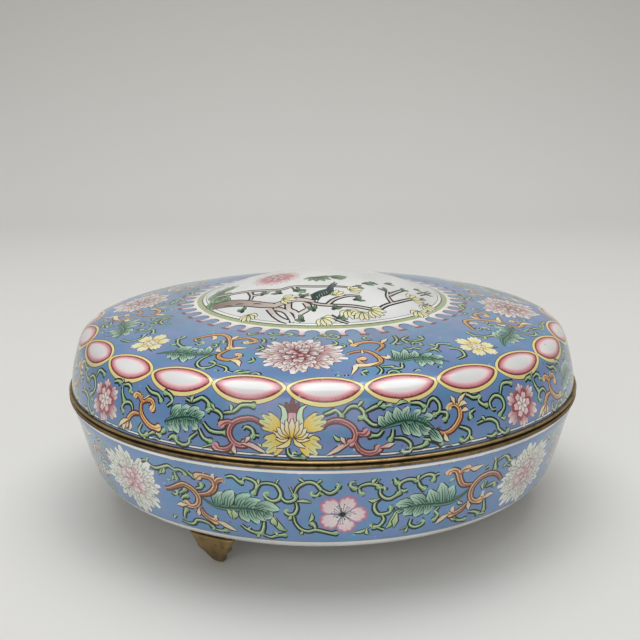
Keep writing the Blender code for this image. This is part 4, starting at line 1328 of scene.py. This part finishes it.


# A grid of points as a closed mesh, joined round across its columns: its rows are joined round too,
# or its two ends are capped. Each row or point also carries how bright its brass is: rubbed wear,
# and on the rims a painted highlight and painted shade as well.
def gridPiece(name, grid, wearAndLight, closeRows):
    rows, columns = grid.shape[:2]
    index = np.arange(rows * columns).reshape(rows, columns)
    lower = np.vstack([index[1:], index[:1]]) if closeRows else index[1:]
    upper = index if closeRows else index[:-1]
    quads = np.stack([upper, lower, np.roll(lower, -1, axis=1), np.roll(upper, -1, axis=1)], axis=-1)
    faces = quads.reshape(-1, 4).tolist()
    if not closeRows:
        faces += [index[0].tolist(), index[-1][::-1].tolist()]
    piece = meshPiece(name, grid.reshape(-1, 3), faces)
    mesh = piece.data
    layer = mesh.attributes.new("Wear", "FLOAT", "POINT")
    layer.data.foreach_set("value", np.broadcast_to(wearAndLight, (rows, columns)).ravel().astype(np.float32))
    # on the map, the faces that close a row or a column run on to its far edge
    corner = loopVertices(mesh)
    row, column = np.divmod(corner, columns)
    total = np.zeros(len(mesh.polygons), np.int32)
    mesh.polygons.foreach_get("loop_total", total)
    isQuad = np.repeat(total, total) == 4
    place = np.arange(len(corner)) % 4
    column = np.where(isQuad & (place > 1) & (column == 0), columns, column)
    row = np.where(isQuad & ((place == 1) | (place == 2)) & (row == 0), rows, row)
    setMap(mesh, np.stack([0.01 + 0.98 * column / columns, 0.01 + 0.9 * row / rows], axis=1))
    return piece


# Sections of the two rims, (radius, height) in mm, from the lower inner corner round; worn is how
# bright the brass is at each point: rubbed wear, as on the collar's top, together with a painted
# highlight along each rim's upper outer edge and painted shade on the faces below it; and wander how
# far the ring strays from true
rims = {
    "lid_rim": {
        "section": [(97.2, 48.3), (98.6, 48.24), (99.5, 48.26), (99.82, 48.4), (99.95, 48.66),
                    (99.86, 48.92), (99.6, 49.06), (99.1, 49.14), (98.2, 49.2), (97.2, 49.2)],
        "worn": [0, 0, 0, 0.12, 0.3, 0.9, 0.7, 0.2, 0, 0],
        "wander": 0.09,
        "phase": 0.4,
    },
    "bowl_rim": {
        "section": [(97.2, 46.16), (98.9, 46.14), (99.6, 46.2), (99.86, 46.38), (99.95, 46.7),
                    (99.93, 47.05), (99.8, 47.28), (99.4, 47.4), (98.2, 47.44), (96.8, 47.44),
                    (96.6, 47.6), (96.6, 51.7), (96.35, 52.0), (95.65, 52.0), (95.4, 51.7),
                    (95.4, 46.6), (95.6, 46.2)],
        "worn": [0, 0, 0.1, 0.2, 0.24, 0.3, 0.9, 0.7, 0.1, 0, 0, 0.3, 0.8, 0.8, 0.3, 0, 0],
        "wander": 0.07,
        "phase": 2.1,
    },
}


# A hand-turned ring: the section is carried round the axis and moved out by 0.3 w k(a) and up by
# 0.5 w k(a - 30 columns), with k(a) = sin(2a + p) + sin(5a + 2p) / 2 + sin(11a) / 4
def makeRim(name, columns=360):
    rim = rims[name]
    turn = np.linspace(0, 2 * math.pi, columns, endpoint=False)[:, None]
    phase = rim["phase"]
    sway = np.sin(2 * turn + phase) + 0.5 * np.sin(5 * turn + 2 * phase) + 0.25 * np.sin(11 * turn)
    section = np.array(rim["section"])
    r = section[:, 0] + 0.3 * rim["wander"] * sway
    z = section[:, 1] + 0.5 * rim["wander"] * np.roll(sway, 30)
    grid = np.stack([r * np.sin(turn), -r * np.cos(turn), z], axis=-1)
    return gridPiece(name + "_turned", grid, np.array(rim["worn"]), True)


# The feet, in mm and degrees
foot = {
    "top": 12.75,
    "width": 18.0,
    "toe": 4.4,
    "radius": 86.0,
    "tuck": 7.0,  # how far the toe stands in from the top
    "thick": 5.2,
    "toeThick": 3.4,
    "cusp": 1.1,
    "cuspAt": 0.46,  # share of the height from the top
    "cuspReach": 0.09,
    "lean": -1.6,  # how far the toe stands to one side
    "azimuths": {"foot_front": -26.7, "foot_right": 93.3, "foot_rear": 213.3},
}


# A cast foot: row t from the top to the toe is a rounded rectangle bent round the box's axis,
# h c |c|^-0.65 across with c = cos u and d s |s|^-0.5 in depth with s = sin u. Half its width is
# h = (toe + (width - toe)(1 - t)^1.3) / 2 + cusp exp(-((t - cuspAt) / cuspReach)^2), drawn in over
# the last tenth, and the row stands in by tuck t^1.6. Rows at both ends shrink to round the edges.
def makeFoot(name, rows=56, columns=64):
    azimuth = math.radians(foot["azimuths"][name])
    t = np.concatenate([[0.0, 0.0], np.linspace(0, 1, rows), [1.0, 1.0]])[:, None]
    shrink = np.ones_like(t)
    shrink[[0, -1]] = 0.4
    shrink[[1, -2]] = 0.85
    u = np.linspace(0, 2 * math.pi, columns, endpoint=False)
    c, s = np.cos(u), np.sin(u)
    half = (foot["toe"] + (foot["width"] - foot["toe"]) * (1 - t) ** 1.3) / 2
    half = half + foot["cusp"] * np.exp(-((t - foot["cuspAt"]) / foot["cuspReach"]) ** 2)
    toe = np.clip((t - 0.9) / 0.1, 0, 1)
    half = half * (1 - 0.3 * toe**2) * shrink
    thick = (foot["thick"] + (foot["toeThick"] - foot["thick"]) * t) / 2
    depth = thick * (1 - 0.25 * toe**2) * shrink
    across = half * np.sign(c) * np.abs(c) ** 0.35 + foot["lean"] * t
    r = foot["radius"] - foot["tuck"] * t**1.6 - thick + depth * np.sign(s) * np.abs(s) ** 0.5
    a = azimuth + across / (foot["radius"] - thick)
    z = foot["top"] * (1 - t) + 0 * a
    grid = np.stack([r * np.sin(a), -r * np.cos(a), z], axis=-1)
    # how bright the brass is: most a quarter of the way down and at the sides, less toward the toe and on the
    # inner and outer faces
    wearAndLight = 0.35 + 0.65 * np.exp(-((t - 0.25) / 0.3) ** 2) * (0.4 + 0.6 * np.abs(c))
    return gridPiece(name + "_cast", grid, wearAndLight, False)


# A shader node; each setting is an input's value where it has one of that name, else its own option
def node(tree, kind, **settings):
    item = tree.nodes.new(kind)
    for key, value in settings.items():
        if key in item.inputs.keys():
            item.inputs[key].default_value = value
        else:
            setattr(item, key, value)
    return item


# A node group with the given sockets; build wires it from the inputs to the outputs
def nodeGroup(name, inputs, outputs, build):
    tree = bpy.data.node_groups.new(name, "ShaderNodeTree")
    for label, kind, value in inputs:
        socket = tree.interface.new_socket(label, in_out="INPUT", socket_type=kind)
        if value is not None:
            socket.default_value = value
    for label, kind in outputs:
        tree.interface.new_socket(label, in_out="OUTPUT", socket_type=kind)
    first = tree.nodes.new("NodeGroupInput")
    last = tree.nodes.new("NodeGroupOutput")
    build(tree, first.outputs, last.inputs)
    return tree


# Noise on a vector that is stretched first
def noise(tree, vector, scale, detail=3.0, stretch=(1, 1, 1), distortion=0.0):
    mapping = node(tree, "ShaderNodeMapping", Scale=stretch)
    texture = node(tree, "ShaderNodeTexNoise", Scale=scale, Detail=detail, Distortion=distortion)
    tree.links.new(vector, mapping.inputs["Vector"])
    tree.links.new(mapping.outputs["Vector"], texture.inputs["Vector"])
    return texture.outputs["Fac"]


# The value from low to high, laid out from first to second and held there beyond
def spread(tree, value, low, high, first=0.0, second=1.0):
    item = node(tree, "ShaderNodeMapRange")
    for socket, amount in zip(("From Min", "From Max", "To Min", "To Max"), (low, high, first, second)):
        item.inputs[socket].default_value = amount
    tree.links.new(value, item.inputs["Value"])
    return item.outputs["Result"]


# The product of two sockets or numbers
def times(tree, first, second):
    item = node(tree, "ShaderNodeMath", operation="MULTIPLY")
    for socket, value in zip(item.inputs, (first, second)):
        if isinstance(value, float):
            socket.default_value = value
        else:
            tree.links.new(value, socket)
    return item.outputs[0]


# Two colours, as sockets or numbers, mixed by a factor
def mixColour(tree, factor, first, second, blend="MIX"):
    item = node(tree, "ShaderNodeMix", data_type="RGBA", blend_type=blend)
    for socket, value in ((item.inputs[0], factor), (item.inputs[6], first), (item.inputs[7], second)):
        if isinstance(value, tuple):
            socket.default_value = (*value, 1)
        elif isinstance(value, float):
            socket.default_value = value
        else:
            tree.links.new(value, socket)
    return item.outputs[2]


# Scales of the noise in each effect, on coordinates in metres
mottle = {"clouds": 95.0, "streaks": 160.0, "tones": 42.0, "violet": (1.55, 0.98, 1.02),
          "turquoise": (0.72, 1.22, 0.98)}


# Blue grounds are mottled by the brush: violet in clouds, turquoise in short streaks, and the whole
# a little darker and lighter in broad tones. A ground is blue by how far its blue is over its red.
def buildMottle(tree, given, result):
    split = node(tree, "ShaderNodeSeparateColor")
    tree.links.new(given["Colour"], split.inputs[0])
    excess = node(tree, "ShaderNodeMath", operation="SUBTRACT")
    tree.links.new(split.outputs["Blue"], excess.inputs[0])
    tree.links.new(split.outputs["Red"], excess.inputs[1])
    isBlue = times(tree, spread(tree, excess.outputs[0], 0.04, 0.16), given["Amount"])
    clouds = spread(tree, noise(tree, given["Vector"], mottle["clouds"], distortion=0.5), 0.44, 0.66)
    long = noise(tree, given["Vector"], mottle["streaks"], stretch=(1, 1, 2.6), distortion=0.8)
    streaks = spread(tree, long, 0.48, 0.66)
    colour = mixColour(tree, times(tree, isBlue, clouds), given["Colour"], mottle["violet"], "MULTIPLY")
    colour = mixColour(tree, times(tree, isBlue, streaks), colour, mottle["turquoise"], "MULTIPLY")
    tone = spread(tree, noise(tree, given["Vector"], mottle["tones"], 2.0), 0.3, 0.7, 0.88, 1.1)
    grey = node(tree, "ShaderNodeCombineColor")
    for socket in grey.inputs[:3]:
        tree.links.new(tone, socket)
    tree.links.new(mixColour(tree, 1.0, colour, grey.outputs[0], "MULTIPLY"), result["Colour"])


# Small round spots scattered through the glaze; share is how many of the cells hold one
def buildSpots(tree, given, result):
    cells = node(tree, "ShaderNodeTexVoronoi", feature="F1")
    tree.links.new(given["Vector"], cells.inputs["Vector"])
    tree.links.new(given["Scale"], cells.inputs["Scale"])
    split = node(tree, "ShaderNodeSeparateColor")
    tree.links.new(cells.outputs["Color"], split.inputs[0])
    chosen = node(tree, "ShaderNodeMath", operation="LESS_THAN")
    tree.links.new(split.outputs["Red"], chosen.inputs[0])
    tree.links.new(given["Share"], chosen.inputs[1])
    inside = spread(tree, cells.outputs["Distance"], 0.1, 0.2, 1.0, 0.0)
    tree.links.new(times(tree, chosen.outputs[0], inside), result["Mask"])


# A fired glaze is not quite even: broad swells and a fine grain
def buildGlaze(tree, given, result):
    swells = noise(tree, given["Vector"], 60.0, 2.0)
    grain = noise(tree, given["Vector"], 900.0, 2.0)
    total = node(tree, "ShaderNodeMath", operation="ADD")
    tree.links.new(times(tree, swells, 1.0), total.inputs[0])
    tree.links.new(times(tree, grain, 0.12), total.inputs[1])
    tree.links.new(total.outputs[0], result["Height"])


# Brass: dark where the given brightness is low, patina in the hollows and painted shade on the
# rims' lower faces, and bright where it is high, rubbed metal and a painted highlight along the
# rims' upper edges; fine turned lines in the height
def buildBrass(tree, given, result):
    broad = noise(tree, given["Vector"], 70.0, 4.0, distortion=0.4)
    fine = noise(tree, given["Vector"], 420.0, 4.0)
    rubbed = node(tree, "ShaderNodeMath", operation="ADD")
    tree.links.new(times(tree, given["Wear"], 0.75), rubbed.inputs[0])
    tree.links.new(times(tree, broad, 0.55), rubbed.inputs[1])
    share = times(tree, spread(tree, rubbed.outputs[0], 0.25, 0.95), spread(tree, fine, 0.3, 0.5, 0.5, 1.0))
    tree.links.new(mixColour(tree, share, given["Dark"], given["Light"]), result["Colour"])
    tree.links.new(spread(tree, share, 0.0, 1.0, 0.62, 0.34), result["Roughness"])
    tree.links.new(noise(tree, given["Vector"], 700.0, 3.0, (1, 1, 6)), result["Height"])


vectorInput = ("Vector", "NodeSocketVector", None)
groups = {
    "mottle": nodeGroup(
        "mottled_ground",
        [vectorInput, ("Colour", "NodeSocketColor", None), ("Amount", "NodeSocketFloat", 1.0)],
        [("Colour", "NodeSocketColor")], buildMottle),
    "spots": nodeGroup(
        "glaze_spots",
        [vectorInput, ("Scale", "NodeSocketFloat", 200.0), ("Share", "NodeSocketFloat", 0.1)],
        [("Mask", "NodeSocketFloat")], buildSpots),
    "glaze": nodeGroup("uneven_glaze", [vectorInput], [("Height", "NodeSocketFloat")], buildGlaze),
    "brass": nodeGroup(
        "toned_brass",
        [vectorInput, ("Wear", "NodeSocketFloat", 0.5), ("Light", "NodeSocketColor", None),
         ("Dark", "NodeSocketColor", None)],
        [("Colour", "NodeSocketColor"), ("Roughness", "NodeSocketFloat"), ("Height", "NodeSocketFloat")],
        buildBrass),
}


# One use of a group in a material, with its own values or links for the inputs; gives its outputs
def useGroup(tree, name, vector, **links):
    item = node(tree, "ShaderNodeGroup", node_tree=groups[name])
    tree.links.new(vector, item.inputs["Vector"])
    for label, value in links.items():
        if isinstance(value, tuple):
            item.inputs[label].default_value = (*value, 1)
        elif isinstance(value, float):
            item.inputs[label].default_value = value
        else:
            tree.links.new(value, item.inputs[label])
    return item.outputs


# A height as small relief of the shader's normal; the distance is in metres
def bump(tree, shader, height, strength, distance):
    item = node(tree, "ShaderNodeBump", Strength=strength, Distance=distance)
    tree.links.new(height, item.inputs["Height"])
    tree.links.new(item.outputs["Normal"], shader.inputs["Normal"])


# A new material; gives it with its tree, its shader and the object's own coordinates
def newMaterial(name):
    material = bpy.data.materials.new(name)
    material.use_nodes = True
    tree = material.node_tree
    vector = node(tree, "ShaderNodeTexCoord").outputs["Object"]
    return material, tree, tree.nodes["Principled BSDF"], vector


# Spots are (scale, share of the cells, strength, colour)
enamel = {
    "roughness": 0.24,
    "coat": 0.5,
    "coatRoughness": 0.09,
    "spots": [(420.0, 0.07, 0.4, (0.75, 0.78, 0.8)), (330.0, 0.05, 0.45, (0.06, 0.05, 0.05))],
    "swell": 0.00012,  # metres
    "swellStrength": 0.5,
}


# Painted glaze: the paint, mottled, with pale and dark spots in it, under an uneven clear coat
def enamelMaterial(name, amount):
    material, tree, shader, vector = newMaterial(name)
    painted = node(tree, "ShaderNodeAttribute", attribute_name="Paint").outputs["Color"]
    colour = useGroup(tree, "mottle", vector, Colour=painted, Amount=amount)["Colour"]
    for scale, share, strength, ink in enamel["spots"]:
        mask = useGroup(tree, "spots", vector, Scale=scale, Share=share)["Mask"]
        colour = mixColour(tree, times(tree, mask, strength), colour, ink)
    tree.links.new(colour, shader.inputs["Base Color"])
    shader.inputs["Roughness"].default_value = enamel["roughness"]
    shader.inputs["Coat Weight"].default_value = enamel["coat"]
    shader.inputs["Coat Roughness"].default_value = enamel["coatRoughness"]
    bump(tree, shader, useGroup(tree, "glaze", vector)["Height"], enamel["swellStrength"], enamel["swell"])
    return material


# Light is the rubbed metal and the painted highlight, dark the patina and the painted shade
brass = {
    "gilt_rim": {"light": (0.6, 0.42, 0.19), "dark": (0.05, 0.035, 0.02)},
    "foot_brass": {"light": (0.46, 0.32, 0.14), "dark": (0.10, 0.07, 0.035)},
    "metallic": 0.85,
    "relief": 0.00008,  # metres
    "reliefStrength": 0.25,
}


def brassMaterial(name):
    material, tree, shader, vector = newMaterial(name)
    wearAndLight = node(tree, "ShaderNodeAttribute", attribute_name="Wear").outputs["Fac"]
    result = useGroup(tree, "brass", vector, Wear=wearAndLight, Light=brass[name]["light"], Dark=brass[name]["dark"])
    tree.links.new(result["Colour"], shader.inputs["Base Color"])
    tree.links.new(result["Roughness"], shader.inputs["Roughness"])
    shader.inputs["Metallic"].default_value = brass["metallic"]
    bump(tree, shader, result["Height"], brass["reliefStrength"], brass["relief"])
    return material


# The piece stands for a node of the frame and hides it
def replaceNode(piece, nodeName, material):
    piece.data.materials.append(material)
    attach(piece, "root")
    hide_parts(nodeName)


# The lid's enamel is made in two pieces that meet in the plain ground above the medallions
def makeLid(rng):
    material = enamelMaterial("lid_enamel", lidLook["mottle"])
    top = Painting()
    paintLappets(top)
    paintPanel(top, rng)
    paintLidTop(top, rng)
    piece = shell("lid_top", lidLook, top, "blue", reach=lidLook["seam"])
    replaceNode(piece, "lid", material)
    edge = Painting()
    paintLidEdge(edge, rng)
    piece = shell("lid_edge", lidLook, edge, "blue", "white", hole=lidLook["seam"])
    replaceNode(piece, "lid", material)


def makeBowl(rng):
    side = Painting()
    paintBowl(side, rng)
    piece = shell("bowl_enamelled", bowlLook, side, "bowlBlue", "white")
    replaceNode(piece, "bowl", enamelMaterial("bowl_enamel", bowlLook["mottle"]))


def makeMetal():
    material = brassMaterial("gilt_rim")
    for name in rims:
        replaceNode(makeRim(name), name, material)
    material = brassMaterial("foot_brass")
    for name in foot["azimuths"]:
        replaceNode(makeFoot(name), name, material)
    print("rims and feet made")


rng = np.random.default_rng(24)
makeLid(rng)
makeBowl(rng)
makeMetal()

# The camera's place in the photo: at in metres, its turns in radians and its lens in mm
view = {
    "at": (0.0, -0.3725, 0.16072),
    "yaw": -0.002318,
    "pitch": 0.241003,
    "roll": -0.007775,
    "focal": 53.71,
    "sensor": 36.0,
}


# It looks along (sin yaw cos pitch, cos yaw cos pitch, -sin pitch), turned about that line by the roll
def makeCamera():
    yaw, pitch, roll = view["yaw"], view["pitch"], view["roll"]
    ahead = Vector((math.sin(yaw) * math.cos(pitch), math.cos(yaw) * math.cos(pitch), -math.sin(pitch)))
    right = ahead.cross(Vector((0, 0, 1))).normalized()
    up = right.cross(ahead)
    across = right * math.cos(roll) + up * math.sin(roll)
    upright = up * math.cos(roll) - right * math.sin(roll)
    turn = Matrix((across, upright, -ahead)).transposed()
    data = bpy.data.cameras.new("camera")
    data.sensor_width = view["sensor"]
    data.lens = view["focal"]
    camera = bpy.data.objects.new("camera", data)
    camera.matrix_world = Matrix.Translation(view["at"]) @ turn.to_4x4()
    bpy.context.scene.collection.objects.link(camera)
    bpy.context.scene.camera = camera
    print("camera placed")


makeCamera()
bpy.context.scene.view_settings.view_transform = "Standard"

# The floor and backdrop, in metres
studio = {
    # near is the floor's own colour, far the colour where the sheet rises, darker and warmer as painted shade
    "near": (0.705, 0.7, 0.675),
    "far": (0.575, 0.56, 0.522),
    "cloud": (0.5, 0.5, 0.48),
    "roughness": 0.75,
    "width": 3.0,
    "front": -1.2,
    "back": 0.75,
    "height": 1.6,
    "sweep": 0.5,
    "sky": 0.27,  # strength of the even light from all round
}


# One sheet: flat, then a quarter circle up, (back + b sin t, b - b cos t), then upright. Where it
# rises it is painted a little darker and warmer, as painted shade, with faint clouds.
def makeFloor():
    turn = np.linspace(0, math.pi / 2, 24)
    bend = studio["sweep"]
    back = studio["back"]
    y = np.concatenate([[studio["front"]], back + bend * np.sin(turn), [back + bend]])
    z = np.concatenate([[0], bend * (1 - np.cos(turn)), [studio["height"]]])
    half = studio["width"] / 2
    points = [(x, a, b) for a, b in zip(y, z) for x in (-half, half)]
    faces = [(2 * i, 2 * i + 1, 2 * i + 3, 2 * i + 2) for i in range(len(y) - 1)]
    mesh = bpy.data.meshes.new("floor")
    mesh.from_pydata(points, [], faces)
    mesh.polygons.foreach_set("use_smooth", [True] * len(faces))
    material, tree, shader, vector = newMaterial("floor")
    split = node(tree, "ShaderNodeSeparateXYZ")
    tree.links.new(vector, split.inputs[0])
    paintedShade = spread(tree, split.outputs["Z"], 0.02, 0.3)
    colour = mixColour(tree, paintedShade, studio["near"], studio["far"])
    cloud = spread(tree, noise(tree, vector, 3.0, 2.0), 0.3, 0.7, 0.0, 0.04)
    tree.links.new(mixColour(tree, cloud, colour, studio["cloud"]), shader.inputs["Base Color"])
    shader.inputs["Roughness"].default_value = studio["roughness"]
    mesh.materials.append(material)
    floor = bpy.data.objects.new("floor", mesh)
    bpy.context.scene.collection.objects.link(floor)
    print("floor laid")


makeFloor()

# Lamps, in metres and watts
lamps = {
    "overhead": {"at": (0.0, 0.1, 1.3), "aim": (0, 0, 0), "size": (1.3, 1.0), "power": 13.8},
    "front": {"at": (-0.3, -1.5, 0.7), "aim": (0, 0, 0.03), "size": (1.8, 0.9), "power": 8.5},
}


# A broad lamp overhead, a weaker one in front and even light from all round
def makeLights():
    for name, lamp in lamps.items():
        data = bpy.data.lights.new(name, "AREA")
        data.shape = "RECTANGLE"
        data.size, data.size_y = lamp["size"]
        data.energy = lamp["power"]
        light = bpy.data.objects.new(name, data)
        aim = Vector(lamp["aim"]) - Vector(lamp["at"])
        turn = aim.to_track_quat("-Z", "Y").to_matrix().to_4x4()
        light.matrix_world = Matrix.Translation(lamp["at"]) @ turn
        bpy.context.scene.collection.objects.link(light)
    world = bpy.data.worlds.new("studio")
    world.use_nodes = True
    sky = world.node_tree.nodes["Background"]
    sky.inputs["Color"].default_value = (1, 1, 1, 1)
    sky.inputs["Strength"].default_value = studio["sky"]
    bpy.context.scene.world = world
    print("lamps placed")


makeLights()
